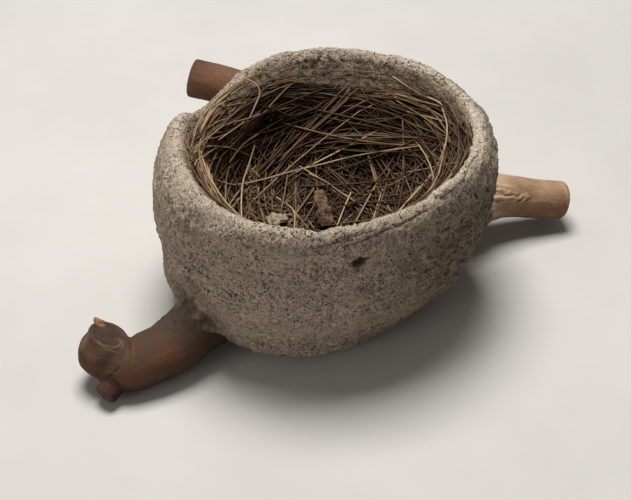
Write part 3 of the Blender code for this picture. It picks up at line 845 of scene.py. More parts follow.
mudPiece = makeMud()
print("mud bowl", len(mudPiece.data.polygons), "faces")


def surfaceSpots(piece, count, keep):
    # random places on the faces of a piece, each with its outward direction, where keep(points) is not 0
    faces = piece.data.polygons
    centre, normal = read(faces, "center", 3).astype(float) / mm, read(faces, "normal", 3).astype(float)
    chance = read(faces, "area", 1) * keep(centre, normal)
    pick = rng.choice(len(faces), count, p=chance / chance.sum())
    return centre[pick], normal[pick]


def fleckLines(spots, normals, length, sink):
    # short lines lying on the surface: spot + s tangent + bend s^2, most of them nearly level
    level = unit(np.cross(normals, [0.0, 0.0, 1.0]) + 1e-6)
    slant = rng.normal(0, 0.9, len(spots))[:, None]
    tangent = np.cos(slant) * level + np.sin(slant) * np.cross(normals, level)
    s = np.linspace(-0.5, 0.5, 3)[None, :, None] * length[:, None, None]
    curve = (rng.normal(0, 0.5, len(spots)) / length)[:, None, None] * s**2
    dip = sink[:, None, None] + 0.26 * (2 * s / length[:, None, None]) ** 2
    return (spots[:, None] + s * tangent[:, None] + curve * np.cross(normals, tangent)[:, None]
            - dip * normals[:, None])


def onShow(centre, normal):
    # none on the smooth film; they crowd together in places, and most at the front right
    smooth = np.linalg.norm(centre - mud["filmEnd"], axis=1) < mud["filmReach"]
    crowd = np.clip(1.0 + 2.0 * noise(centre, (12.0, 12.0, 7.0), 13), 0.1, 3.0)
    crowd = crowd * (1 + 0.8 * rises(centre[:, 0], 20, 30) * falls(centre[:, 2], 80, 20))
    return np.where(covered(centre, normal) | (centre[:, 2] < 2.0) | smooth, 0.0, crowd)


def fleckFinish():
    made = Finish("fleck", 0.8, 0.25)
    tone = made.stops(made.value("tone"), ramp(
        (0.0, 50, 34, 25), (0.42, 84, 62, 47), (0.55, 128, 112, 94), (0.8, 164, 148, 122),
        (0.93, 190, 172, 142), (1.0, 188, 120, 60)))
    streak = made.grain(1800.0, 3.0, 0.6)
    out = made.layered(tone, [(streak, 0.35, [(0.35, 70, 56, 44), (0.65, 190, 172, 144)])], "OVERLAY")
    made.bump(streak, 0.3, 0.1)
    return made.colour(out)


flecks = [
    # name, count, tone, length, half width and depth in the mud of its loose fibres, in millimetres; the dark
    # ones are partly dark fibres and partly dark bits painted in as the shade of pits
    ("darkFlecks", 4200, (0.0, 0.44), (0.6, 3.4), (0.12, 0.36), (0.02, 0.10)),
    ("strawFlecks", 6400, (0.46, 0.90), (1.0, 4.6), (0.09, 0.19), (0.0, 0.07)),
]


def makeFlecks():
    finish = fleckFinish()
    for name, count, tones, size, wide, sink in flecks:
        count = count
        spots, normals = surfaceSpots(mudPiece, count, onShow)
        length = rng.uniform(*size, count) * rng.uniform(0.5, 1, count)
        lines = fleckLines(spots, normals, length, rng.uniform(*sink, count))
        radius = rng.uniform(*wide, count)[:, None] * np.array([0.6, 1.0, 0.5])
        tone = rng.uniform(*tones, count)
        # one straw in two hundred is rusty
        rusty = (rng.random(count) < 0.005) & (tones[0] > 0.3)
        tone = np.where(rusty, 1.0, tone)
        addTubes(name, lines, radius, 4, finish, "mud", values={"tone": tone}, flat=0.75,
                 twist=rng.uniform(0, 6, count))


makeFlecks()
print("flecks in the mud")


def edgeThinned(down):
    # how much thinner the mat lies near its edge than the solid does
    return np.interp(down, [0, 0.10, 0.24], [1.5, 1.1, 0.0])


def bowlTable():
    # distance of the mat's face from the lining's centre, by turn and by angle up from straight down
    turns = np.linspace(0, 2 * math.pi, lining["turns"] + 1)
    angle, down = np.meshgrid(turns, np.linspace(-0.38, 1.0, 160), indexing="ij")
    wall, inward, thick = liningSurface(angle, down)
    rel = wall + inward * np.maximum(thick - edgeThinned(down), 0.4)[..., None] - np.array(lining["centre"])
    polar = np.arctan2(np.hypot(rel[..., 0], rel[..., 1]), -rel[..., 2])
    size = np.linalg.norm(rel, axis=-1)
    grid = np.linspace(0.0, 1.9, 150)
    rows = np.array([np.interp(grid, p[::-1], r[::-1]) for p, r in zip(polar, size)])
    edge = polar[:, np.argmin(np.abs(down[0]))]
    # the band of bare mud runs from the mat's edge to 0.03 of the inside profile below the crest
    crest = cupPoints("inside", angle[:, 0], 0.03 + 0 * angle[:, 0]) - np.array(lining["centre"])
    return rows, grid, edge, np.arctan2(np.hypot(crest[:, 0], crest[:, 1]), -crest[:, 2])


bowlDepth, bowlPolar, bowlEdge, bowlCrest = bowlTable()


def polars(ways):
    # turn round the upright axis, and angle up from straight down
    turn = np.arctan2(ways[..., 1], ways[..., 0]) % (2 * math.pi)
    return turn, np.arctan2(np.hypot(ways[..., 0], ways[..., 1]), -ways[..., 2])


def waysAt(turn, polar):
    return np.stack([np.sin(polar) * np.cos(turn), np.sin(polar) * np.sin(turn), -np.cos(polar)], -1)


def onMat(ways, lift):
    # the point in the direction ways from the centre that stands lift above the mat: the table of depths is
    # read by blending its four nearest values
    turn, polar = polars(ways)
    a = turn / (2 * math.pi / lining["turns"])
    b = np.clip(polar / bowlPolar[1], 0, len(bowlPolar) - 1.001)
    i, j = np.clip(np.floor(a).astype(int), 0, lining["turns"] - 1), np.floor(b).astype(int)
    u, v = a - i, b - j
    depth = ((1 - u) * (1 - v) * bowlDepth[i, j] + u * (1 - v) * bowlDepth[i + 1, j]
             + (1 - u) * v * bowlDepth[i, j + 1] + u * v * bowlDepth[i + 1, j + 1])
    return np.array(lining["centre"]) + ways * (depth - lift)[..., None]


mat = {"sink": 1.3, "tangle": 0.7}


def matFinish():
    made = Finish("felt", 0.95, 0.1)
    broad = made.grain(60.0, 4.0, 0.6)
    fibre = made.grain((300, 2400, 1800), 3.0, 0.6, 0.6, turn=(0.4, 0.3, 0.5))
    cross = made.grain((2400, 320, 1500), 3.0, 0.6, 0.6, turn=(0.2, 0.9, 0.3))
    # the mat is dark brown, partly its own colour and partly painted shade in the depths between the stems
    base = made.stops(broad, ramp((0.3, 26, 20, 15), (0.6, 42, 33, 25), (0.8, 58, 46, 36)))
    line = made.most(made.span(fibre, 0.52, 0.7), made.span(cross, 0.55, 0.72))
    out = made.stained(base, [(line, 0.55, (84, 66, 50))])
    # above the grass the mat is bedded in mud
    muddy = made.times(made.value("muddy"), made.span(made.grain(420.0, 4.0, 0.6), 0.36, 0.56))
    out = made.mix(muddy, out, made.mix(made.span(fibre, 0.44, 0.6), srgb(96, 82, 68), srgb(140, 123, 105)))
    made.bump(line, 0.7, 0.4)
    return made.colour(out)


def makeMat():
    # a closed skin: its back against the wall, and its face at the mat's depth, moved by a tangle of noise
    angle = np.linspace(0, 2 * math.pi, 260, endpoint=False)[None, :]
    wall, inward, thick = liningSurface(angle, np.linspace(1, 0, 12)[:, None] + 0 * angle)
    back = wall + inward * 0.15
    down = np.linspace(0, 1, 90)[:, None] + 0 * angle
    wall, inward, thick = liningSurface(angle, down)
    depth = np.maximum(thick - edgeThinned(down) - mat["sink"] * np.clip(down / 0.2, 0, 1), 0.3)
    face = wall + inward * depth[..., None]
    tangle = mat["tangle"] * (noise(face, (6, 6, 4), 11) + noise(face, 2.6, 12)) * np.clip(down * 6, 0.1, 1)
    rings = np.concatenate([back, face + inward * tangle[..., None]])
    faces = tubeFaces(1, *rings.shape[:2])
    return addPiece("felt", closedRings(rings), faces, matFinish(), "mat", ["grass_lining"])


matPiece = makeMat()
print("mat")


def stemFinish():
    made = Finish("grassStem", 0.75, 0.15)
    tone = made.stops(made.value("tone"), ramp(
        (0.0, 32, 25, 19), (0.2, 60, 47, 36), (0.42, 94, 75, 57), (0.62, 134, 111, 86),
        (0.8, 172, 149, 119), (1.0, 214, 194, 162)))
    blotch = made.grain(240.0, 4.0, 0.6)
    out = made.layered(tone, [(blotch, 0.45, [(0.3, 66, 52, 40), (0.7, 196, 184, 166)])], "OVERLAY")
    made.bump(made.grain(2200.0, 2.0, 0.5), 0.25, 0.08)
    return made.colour(out)


grassFinish = stemFinish()
stems = {
    "rings": 8, "sides": 5,
    "standOff": 2.2,                                     # how far a stiff stem may leave the mat
    "alongEdge": 0.3,                                    # the share that turn and run along the mat's edge
    "steps": 16,                                         # places tested against the edge, each way
    "flowReach": 17.0,                                   # how far a row of the flow reaches, in pixels
    # pixels along the upper edge of the grass in the photograph, from the left round the back to the right
    "edge": [
        (190, 152), (196, 136), (206, 122), (224, 106), (245, 96), (265, 84), (290, 80), (320, 85),
        (350, 91), (380, 92), (405, 89), (425, 93), (441, 102), (456, 113), (466, 126), (472, 142),
        (471, 165), (462, 184),
    ],
    "layers": [
        # name, count, length, height above the mat, tone, half thickness, stiffness, reach past the edge
        # deeper layers are darker, partly their own colour and partly painted shade under the stems above
        ("stemsDeep", 1300, (22, 56), (-1.8, -0.4), (0.0, 0.12), (0.28, 0.46), (0.0, 0.3), 0.0),
        ("stemsMiddle", 800, (34, 88), (-0.8, 0.8), (0.02, 0.28), (0.28, 0.48), (0.3, 0.9), 0.0),
        ("stemsTop", 500, (34, 94), (0.3, 1.9), (0.08, 0.46), (0.26, 0.44), (0.5, 1.0), 0.0),
        ("stemsStiff", 90, (36, 92), (1.6, 2.9), (0.22, 0.62), (0.34, 0.50), (0.7, 1.0), 0.0),
        ("stemsEdge", 300, (4, 15), (-0.15, 0.30), (0.46, 0.80), (0.06, 0.14), (0.0, 0.1), 0.8),
    ],
    # how stems lie in the photograph: pixels, angle up from the right in degrees, spread of that angle, and
    # how much paler they are there, partly their own colour and partly painted light and shade
    "flow": [
        (198, 122, 72, 24, 0.27), (222, 98, 44, 18, 0.19), (224, 150, 52, 32, 0.27),
        (208, 190, 84, 26, 0.28), (238, 200, 88, 36, 0.26), (300, 86, 14, 10, -0.02),
        (288, 112, 22, 18, -0.14), (330, 112, 36, 26, -0.10), (378, 88, 170, 10, 0.02),
        (398, 112, 158, 18, 0.04), (430, 92, 146, 10, 0.05), (450, 126, 124, 18, 0.05),
        (455, 158, 114, 24, 0.10), (438, 190, 92, 36, 0.14), (392, 184, 104, 30, 0.10),
        (352, 142, 0, 14, -0.02), (404, 146, 172, 22, 0.02), (300, 158, 40, 40, -0.06),
        (350, 188, 146, 46, 0.02), (278, 190, 96, 50, 0.06), (312, 212, 60, 60, 0.02),
        (372, 212, 112, 44, 0.13), (262, 214, 110, 50, 0.14),
    ],
}


def stemEdge():
    # the upper edge of the grass as an angle up from straight down, for each step of turn
    turn, polar = polars(unit(seen([mudPiece, matPiece], stems["edge"]) - np.array(lining["centre"])))
    order = np.argsort(turn)
    turns = np.linspace(0, 2 * math.pi, lining["turns"] + 1)
    found = np.interp(turns, turn[order], polar[order], period=2 * math.pi)
    # the front of the bowl isn't seen, and there the grass ends with the mat
    front = rises(np.abs(np.degrees(turns) - 270), 50, 25)
    return front * np.minimum(found, bowlCrest) + (1 - front) * bowlEdge


stemEdges = stemEdge()


def edgePolar(turn, past=0.0):
    # past is the share of the bare band above the grass
    edge = stemEdges + past * np.maximum(bowlCrest - stemEdges, 0)
    return np.interp(turn % (2 * math.pi), np.linspace(0, 2 * math.pi, len(edge)), edge)


def bedMat():
    turn, polar = polars(unit(getPoints(matPiece) - np.array(lining["centre"])))
    addValue(matPiece.data, "muddy", rises(polar - edgePolar(turn), -0.05, 0.07))


bedMat()


def heading(places, ways):
    # which way stems run at these places, as an angle from level along the bowl
    turn = np.arctan2(ways[:, 1], ways[:, 0])
    level = np.stack([-np.sin(turn), np.cos(turn), 0 * turn], -1)
    sink = np.cross(level, ways)
    camera, right, up, forward = cameraFrame()
    rel = places - camera
    width, height = view["photo"]
    focal = view["lens"] / view["sensor"] * width
    x = width / 2 + focal * (rel @ right) / (rel @ forward)
    y = height / 2 - focal * (rel @ up) / (rel @ forward)
    flow = np.array(stems["flow"], float)
    apart = (x[:, None] - flow[:, 0]) ** 2 + (y[:, None] - flow[:, 1]) ** 2
    weight = np.exp(-apart / (2 * stems["flowReach"] ** 2)) + 1e-9
    twice = np.radians(2 * flow[:, 2])
    slope = 0.5 * np.arctan2(weight @ np.sin(twice), weight @ np.cos(twice))
    slope = slope + np.radians(rng.normal(0, 1, len(x)) * (weight @ flow[:, 3]) / weight.sum(1))
    # level cos h + sink sin h is seen along (cos slope, sin slope), which gives tan h
    a, b, c, d = level @ right, sink @ right, level @ up, sink @ up
    found = np.arctan2(a * np.sin(slope) - c * np.cos(slope), d * np.cos(slope) - b * np.sin(slope))
    hidden = ((rel * ways).sum(-1) < 0) | (np.abs(a * d - b * c) < 0.15)
    paleAndLit = (weight @ flow[:, 4]) / weight.sum(1)
    return np.where(hidden, rng.normal(0, 0.45, len(x)), found), level, sink, paleAndLit


def stemLines(count, length, lift, stiff, past):
    # arcs over the bowl: middle cos s + heading sin s + bend s^2, drawn towards their own chord as far as
    # they are stiff
    turn = rng.uniform(0, 2 * math.pi, count)
    limit = edgePolar(turn)
    polar = np.minimum(np.arccos(1 - rng.random(count) ** 0.8), limit - 0.02)
    polar = limit + (edgePolar(turn, past) - limit) * rng.random(count) ** 1.5 if past else polar
    middle = waysAt(turn, polar)
    angle, level, sink, paleAndLit = heading(onMat(middle, np.zeros(count)), middle)
    ahead = np.cos(angle)[:, None] * level + np.sin(angle)[:, None] * sink
    half = (length / 2 / 48.0)[:, None]
    bend = rng.normal(0, 0.14, count)[:, None]

    def arcs(s):
        return unit(np.cos(s)[..., None] * middle[:, None] + np.sin(s)[..., None] * ahead[:, None]
                    + (bend * s**2)[..., None] * np.cross(middle, ahead)[:, None])

    # what would climb past the mat's edge ends there, or runs along it instead
    steps = stems["steps"]
    turn, polar = polars(arcs(np.linspace(-1, 1, 2 * steps + 1) * half))
    tooHigh = polar > edgePolar(turn, past)
    halves = (tooHigh[:, steps::-1], tooHigh[:, steps:])
    back, fore = (np.where(part.any(1), part.argmax(1), steps) / steps for part in halves)
    along = rng.random(count) < stems["alongEdge"]
    back, fore = (np.where(along, 1.0, np.maximum(end, 0.2))[:, None] for end in (back, fore))
    share = np.linspace(0, 1, stems["rings"])[None, :]
    ways = arcs((share * (back + fore) - back) * half)
    turn, polar = polars(ways)
    limit = edgePolar(turn, past) + np.minimum(rng.normal(-0.01, 0.03, count)[:, None], 0.02)
    polar = np.where(polar > limit, limit + 0.06 * (polar - limit), polar)
    # the ends dip into the mat
    dip = rng.uniform(0, 1.0, count)[:, None] * (2 * share - 1) ** 4
    line = onMat(waysAt(turn, polar), lift[:, None] - dip)
    off = line[:, :1] + (line[:, -1:] - line[:, :1]) * share[..., None] - line
    far = np.linalg.norm(off, axis=-1).max(axis=1)
    pull = stiff * np.minimum(1, stems["standOff"] / np.maximum(far, 1e-3))
    return line + pull[:, None, None] * off, paleAndLit


def makeStems():
    taper = np.interp(np.linspace(0, 1, stems["rings"]), [0, 0.15, 0.8, 1], [0.8, 1, 0.9, 0.5])
    for name, count, size, height, tones, wide, stiffness, past in stems["layers"]:
        count = count
        length = size[0] + (size[1] - size[0]) * rng.random(count) ** 1.5
        lift, stiff = rng.uniform(*height, count), rng.uniform(*stiffness, count)
        lines, paleAndLit = stemLines(count, length, lift, stiff, past)
        # one stem in twelve is much paler than those round it
        bright = 0.30 * (rng.random(count) < 0.08) * (height[1] > 1)
        # the tone by place is partly the stems' own colour and partly painted light and shade
        tone = np.clip(rng.uniform(*tones, count) + bright + paleAndLit * (0.8 if past == 0 else 0), 0, 1)
        radius = rng.uniform(*wide, count)[:, None] * taper
        addTubes(name, lines, radius, stems["sides"], grassFinish, "grass", values={"tone": tone},
                 twist=rng.uniform(0, 6, count))


makeStems()
print("grass stems")

bundles = {
    # stems that lie together in the photograph: how many, how far apart, tone, half thickness, height above
    # what they lie on, and pixels along them
    "rows": [
        (14, 0.7, 0.92, 0.20, 0.4, [(191, 150), (198, 126), (207, 111), (219, 98), (234, 87), (249, 79),
                                    (268, 72)]),
        (4, 1.0, 0.86, 0.26, 1.6, [(189, 160), (205, 143), (228, 124), (262, 108)]),
        (3, 1.0, 0.84, 0.24, 1.6, [(187, 158), (199, 137), (214, 116), (226, 102)]),
        (3, 1.2, 0.80, 0.34, 2.9, [(189, 149), (211, 111), (223, 103)]),
        (2, 1.0, 0.82, 0.36, 3.1, [(199, 126), (217, 105), (225, 100)]),
        (2, 1.4, 0.80, 0.34, 3.1, [(189, 157), (245, 115), (261, 109)]),
        (2, 1.4, 0.70, 0.32, 3.0, [(190, 160), (225, 154)]),
        (2, 1.4, 0.70, 0.32, 3.2, [(197, 137), (237, 123)]),
        (4, 1.4, 0.78, 0.34, 3.2, [(206, 193), (207, 141), (210, 115)]),
        (5, 1.4, 0.50, 0.34, 2.4, [(210, 183), (211, 135)]),
        (4, 2.0, 0.60, 0.34, 2.8, [(189, 151), (195, 129)]),
        (4, 1.8, 0.56, 0.40, 3.0, [(217, 175), (235, 139), (269, 121)]),
        (5, 2.2, 0.44, 0.40, 2.8, [(223, 175), (245, 145)]),
        (4, 2.2, 0.46, 0.40, 3.1, [(235, 171), (251, 143)]),
        (4, 2.4, 0.50, 0.40, 3.2, [(211, 175), (231, 151)]),
        (6, 1.8, 0.46, 0.40, 2.8, [(253, 101), (289, 89), (323, 88)]),
        (5, 1.8, 0.42, 0.42, 3.0, [(245, 104), (281, 95), (337, 98)]),
        (5, 1.6, 0.56, 0.30, 2.5, [(251, 91), (289, 79), (313, 81)]),
        (2, 1.2, 0.20, 0.50, 3.4, [(251, 105), (305, 126)]),
        (3, 1.2, 0.20, 0.46, 3.2, [(281, 121), (325, 105)]),
        (5, 1.5, 0.56, 0.42, 4.6, [(355, 81), (316, 119), (286, 150), (256, 184)]),
        (3, 1.8, 0.46, 0.42, 4.2, [(353, 93), (322, 122), (290, 152), (268, 178)]),
        (1, 0.5, 0.62, 0.46, 3.6, [(351, 73), (360, 88), (369, 103)]),
        (3, 1.6, 0.54, 0.40, 4.2, [(297, 129), (276, 149), (250, 172)]),
        (5, 1.6, 0.50, 0.26, 3.0, [(359, 91), (439, 107)]),
        (3, 1.2, 0.50, 0.26, 2.8, [(385, 73), (441, 103)]),
        (3, 1.6, 0.52, 0.30, 3.2, [(357, 123), (415, 113)]),
        (4, 1.5, 0.48, 0.30, 3.2, [(403, 105), (421, 125)]),
        (8, 2.0, 0.60, 0.34, 3.8, [(309, 141), (365, 135), (421, 143)]),
        (4, 2.2, 0.50, 0.36, 3.4, [(315, 143), (415, 147)]),
        (10, 2.6, 0.40, 0.22, 1.4, [(461, 118), (464, 150), (449, 186)]),
        (6, 1.6, 0.54, 0.30, 3.0, [(451, 105), (465, 135)]),
        (6, 1.8, 0.58, 0.34, 3.2, [(425, 111), (441, 139), (445, 167)]),
        (5, 1.8, 0.56, 0.34, 3.2, [(411, 121), (437, 167)]),
        (4, 1.6, 0.46, 0.34, 3.0, [(455, 160), (437, 180), (409, 205)]),
        (2, 0.9, 0.70, 0.38, 4.2, [(366, 155), (374, 178), (391, 209)]),
        (2, 0.9, 0.62, 0.38, 4.2, [(403, 140), (404, 158), (403, 176), (396, 199)]),
        (4, 1.8, 0.50, 0.40, 3.4, [(321, 163), (357, 195), (377, 213)]),
        (3, 1.0, 0.80, 0.38, 5.0, [(293, 169), (320, 182), (345, 197), (371, 211)]),
        (1, 0.4, 0.88, 0.34, 4.4, [(337, 225), (351, 193)]),
        (1, 0.4, 0.88, 0.34, 4.8, [(373, 219), (381, 193)]),
        # the lower end of the long pale stem at the right, and its fork
        (1, 0.0, 0.94, 0.40, 10.0, [(444, 146), (438, 160), (430, 174), (417, 190), (403, 205)]),
        (1, 0.0, 0.92, 0.34, 10.0, [(430, 175), (431, 182), (436, 189)]),
        (4, 1.8, 0.52, 0.40, 3.4, [(293, 151), (293, 183), (305, 215)]),
        (3, 1.6, 0.80, 0.36, 3.4, [(245, 203), (255, 221)]),
        (1, 0.4, 0.82, 0.36, 3.6, [(261, 205), (264, 223)]),
        (1, 0.3, 0.94, 0.34, 4.0, [(235, 189), (238, 198), (233, 206), (236, 215)]),
        (2, 1.0, 0.84, 0.34, 3.6, [(213, 175), (215, 205)]),
        (6, 3.0, 0.44, 0.38, 3.0, [(217, 190), (213, 204)]),
        (1, 0.4, 0.86, 0.36, 4.0, [(291, 207), (309, 229)]),
        (1, 0.3, 0.90, 0.30, 3.8, [(309, 221), (315, 230)]),
    ],
    "rings": 14,
}


def makeBundles():
    # smooth curves through the points seen, each set aside by its own step + fan s + bow sin(pi s)
    lines, tones, radii = [], [], []
    for count, apart, tone, thick, lift, spots in bundles["rows"]:
        spots = seen([mudPiece, matPiece], spots, 1)
        toward = -cameraFrame()[3]
        aside = unit(np.cross(spots[-1] - spots[0], toward))
        run = np.linspace(0, 1, bundles["rings"])
        start, end = rng.uniform(0, 0.28, (2, count)) * (count > 1)
        step, fan, bow = rng.normal(0, apart, (3, count)) * [[1.0], [1.5], [0.5]] * (count > 1)
        for k in range(count):
            at = start[k] + (1 - start[k] - end[k]) * run
            off = step[k] + fan[k] * (at - 0.5) + bow[k] * np.sin(math.pi * at)
            line = spline(spots, at) + off[:, None] * aside
            # sway of up to a third of a millimetre
            sway = 0.3 * noise(line, 9.0, 60 + k)
            lines.append(line + sway[:, None] * aside + (lift + rng.uniform(0.0, 1.0)) * toward)
            tones.append(tone + rng.normal(-0.08, 0.08))
            radii.append(thick * rng.uniform(0.6, 1.0))
    taper = np.interp(np.linspace(0, 1, bundles["rings"]), [0, 0.1, 0.85, 1], [0.75, 1, 0.9, 0.5])
    radius = np.array(radii)[:, None] * taper
    addTubes("stemBundles", np.array(lines), radius, 6, grassFinish, "grass",
             values={"tone": np.clip(tones, 0, 1)}, twist=rng.uniform(0, 6, len(lines)))


makeBundles()
print("bundles of stems")

chaff = {
    # short pale bits of dry grass and dust caught among the stems: count, how far they spread, tone, length,
    # the pixel they lie round, and how far they stand above the mat
    "rows": [
        (60, 2.4, 0.90, (1.2, 4.6), (247, 178), 3.4), (24, 1.4, 0.98, (1.2, 4.0), (252, 172), 3.8),
        (34, 2.4, 0.84, (1.2, 4.6), (246, 190), 3.0), (44, 3.4, 0.72, (0.8, 3.6), (280, 214), 1.6),
        (38, 2.6, 0.78, (0.8, 3.2), (291, 224), 1.6), (26, 3.0, 0.66, (1.0, 4.0), (276, 200), 1.6),
        (20, 3.4, 0.58, (1.0, 4.0), (318, 206), 1.2), (24, 3.0, 0.62, (1.2, 5.0), (228, 196), 1.6),
    ],
    "flat": 0.4,
}


def makeChaff():
    # short bent tubes: middle + s way + bend s^2
    counts, spread, tone, sizes, spots, lift = zip(*chaff["rows"])
    centres = np.repeat(seen([mudPiece, matPiece], spots), counts, axis=0)
    spread = np.repeat(spread, counts)
    tone = np.repeat(tone, counts) + rng.normal(0, 0.08, sum(counts))
    length = np.concatenate([rng.uniform(*size, count) for size, count in zip(sizes, counts)])
    lift = np.repeat(lift, counts) + rng.uniform(-1.2, 1.2, sum(counts))
    right, up, forward = cameraFrame()[1:]
    aside = rng.normal(0, 1, (len(length), 2)) * spread[:, None]
    middle = (centres + aside[:, :1] * right + aside[:, 1:] * up - lift[:, None] * forward)
    angle = rng.uniform(0, math.pi, len(length))[:, None]
    way = unit(np.cos(angle) * right + np.sin(angle) * up + rng.normal(0, 0.35, (len(length), 1)) * forward)
    s = np.linspace(-0.5, 0.5, 4)[None, :, None] * length[:, None, None]
    bend = (rng.normal(0, 0.35, len(length)) / length)[:, None, None] * s**2
    lines = middle[:, None] + s * way[:, None] + bend * np.cross(way, forward)[:, None]
    radius = rng.uniform(0.18, 0.42, len(length))[:, None] * np.array([0.5, 1.0, 1.0, 0.5])
    addTubes("chaff", lines, radius, 6, grassFinish, "grass", values={"tone": np.clip(tone, 0, 1)},
             flat=chaff["flat"], twist=rng.uniform(0, 6, len(length)))


makeChaff()
print("chaff")

longStems = {
    "radius": 0.38, "steps": 44,
    # turn in degrees, share of the way down the mat, height above it; the last number of each is its tone
    "bends": [
        ([(101, 0.51, 1.5), (81, 0.45, 1.5), (60, 0.40, 1.5), (40, 0.34, 1.5), (24, 0.26, 1.5)], 0.62),
        ([(108, 0.59, 1.5), (108, 0.74, 1.5), (141, 1.00, 1.5)], 0.55),
        ([(76, 0.03, 1.5), (83, 0.22, 1.5), (94, 0.40, 2.5), (108, 0.56, 2.5), (128, 0.68, 1.5)], 0.58),
        ([(84, 0.07, 1.5), (92, 0.25, 1.5), (103, 0.42, 1.5), (120, 0.57, 1.5), (139, 0.63, 1.5)], 0.5),
        ([(59, 0.49, 2.5), (47, 0.61, 2.5), (29, 0.70, 2.0), (5, 0.69, 2.0)], 0.7),
        ([(45, 0.20, 3.5), (39, 0.34, 3.5), (31, 0.47, 3.0), (19, 0.63, 1.5)], 0.6),
        ([(110, 0.64, 3.0), (98, 0.72, 3.0), (80, 0.79, 2.5), (48, 0.83, 2.0), (3, 0.71, 2.0)], 0.4),
        ([(135, 0.80, 2.0), (133, 0.87, 1.5), (143, 0.99, 2.5), (216, 1.00, 2.5)], 0.85),
        ([(182, 0.33, 1.5), (160, 0.58, 3.5), (136, 0.69, 4.5), (110, 0.69, 4.5), (86, 0.63, 5.0),
          (66, 0.53, 4.5), (45, 0.41, 5.0), (28, 0.28, 4.0)], 0.8),
        ([(58, -0.10, 2.0), (43, -0.04, 2.0), (31, -0.08, 1.0), (27, -0.05, 1.0), (15, 0.00, 3.5),
          (6, 0.14, 2.0), (5, 0.33, 2.5), (6, 0.49, 2.5), (0, 0.62, 3.0)], 0.85),
        ([(131, -0.10, 1.0), (129, 0.01, 3.0), (129, 0.10, 2.5), (133, 0.17, 2.0), (142, 0.24, 1.5),
          (152, 0.27, 1.5)], 0.8),
        ([(137, 0.42, 5.0), (143, 0.51, 5.5), (154, 0.62, 5.5), (172, 0.69, 5.0), (188, 0.71, 3.5)], 0.9),
        ([(50, 0.81, 3.5), (33, 0.95, 3.0), (334, 1.00, 3.0)], 0.85),
        ([(5, 0.42, 4.0), (3, 0.52, 4.0), (355, 0.62, 4.0)], 0.95),
    ],
}


def makeLongStems():
    # smooth curves through points that stand above the mat, one for each long stem of the frame
    lines, tones = [], []
    for bends, tone in longStems["bends"]:
        turn, down, lift = np.array(bends).T
        wall, inward, thick = liningSurface(np.radians(turn), down)
        lines.append(spline(wall + inward * (thick + lift)[:, None], np.linspace(0, 1, longStems["steps"])))
        tones.append(tone)
    taper = np.interp(np.linspace(0, 1, longStems["steps"]), [0, 0.1, 0.9, 1], [0.7, 1, 1, 0.55])
    radius = longStems["radius"] * np.tile(taper, (len(lines), 1))
    nodes = [f"long_stem_{k:02d}" for k in range(1, len(lines) + 1)]
    tone = np.array(tones)
    addTubes("longStems", np.array(lines), radius, 8, grassFinish, "grass", nodes, {"tone": tone})


makeLongStems()
print("long stems")


stem = {
    # x, y, z and radius along the bent stem, from the knuckle at the front to its end at the right
    "rows": [
        (-92, -69.5, 12.6, 10.0), (-84, -70.8, 11.6, 10.7), (-75.5, -66.6, 13.0, 11.8),
        (-67, -61.4, 14.1, 11.9), (-60.5, -55.8, 14.8, 11.6), (-54.5, -49.8, 15.8, 11.6),
        (-44, -40.5, 16.2, 11.7), (-16, -19, 15.4, 11.8), (16, 0.5, 15.6, 11.9), (46, 20.5, 17.0, 12.2),
        (64, 31, 20.0, 12.0), (80, 38, 20.8, 11.3), (90, 41, 19.0, 10.2), (101, 43.2, 16.2, 9.5),
        (116.2, 46.3, 12.6, 9.1),
    ],
    "fork": (46.0, 20.5, 17.0), "forkNormal": (0.83, 0.55, 0.10),
    "cell": 0.46, "triangles": 120000,
}


def flattened(points, place, normal, gap=0.0):
    # what lies beyond the plane is pressed back onto it
    n = unit(np.asarray(normal, float))
    past = np.maximum(0.0, (points - np.asarray(place, float)) @ n + gap)
    return points - past[..., None] * n


def halfStem(side):
    # the rings of the bent stem on one side of the fork, the last of them pressed flat onto its plane
    rings = pathTube(stem["rows"], 96, 300, knots=0.012, dome=2.2)
    n = side * unit(np.array(stem["forkNormal"]))
    past = (rings - np.array(stem["fork"])) @ n
    return flattened(rings[past.min(axis=1) < 0], stem["fork"], n, 0.15)


def nearLine(points, rows, count=260):
    # for each point: distance along the line, its radius there, the way out from it and its direction
    fine = spline(rows, np.linspace(0, 1, count))
    run = np.concatenate([[0], np.cumsum(np.linalg.norm(np.diff(fine[:, :3], axis=0), axis=1))])
    best = np.concatenate([((part[:, None] - fine[None, :, :3]) ** 2).sum(-1).argmin(1)
                           for part in np.array_split(points, len(points) // 20000 + 1)])
    return run[best], fine[best, 3], points - fine[best, :3], unit(np.gradient(fine[:, :3], axis=0))[best]


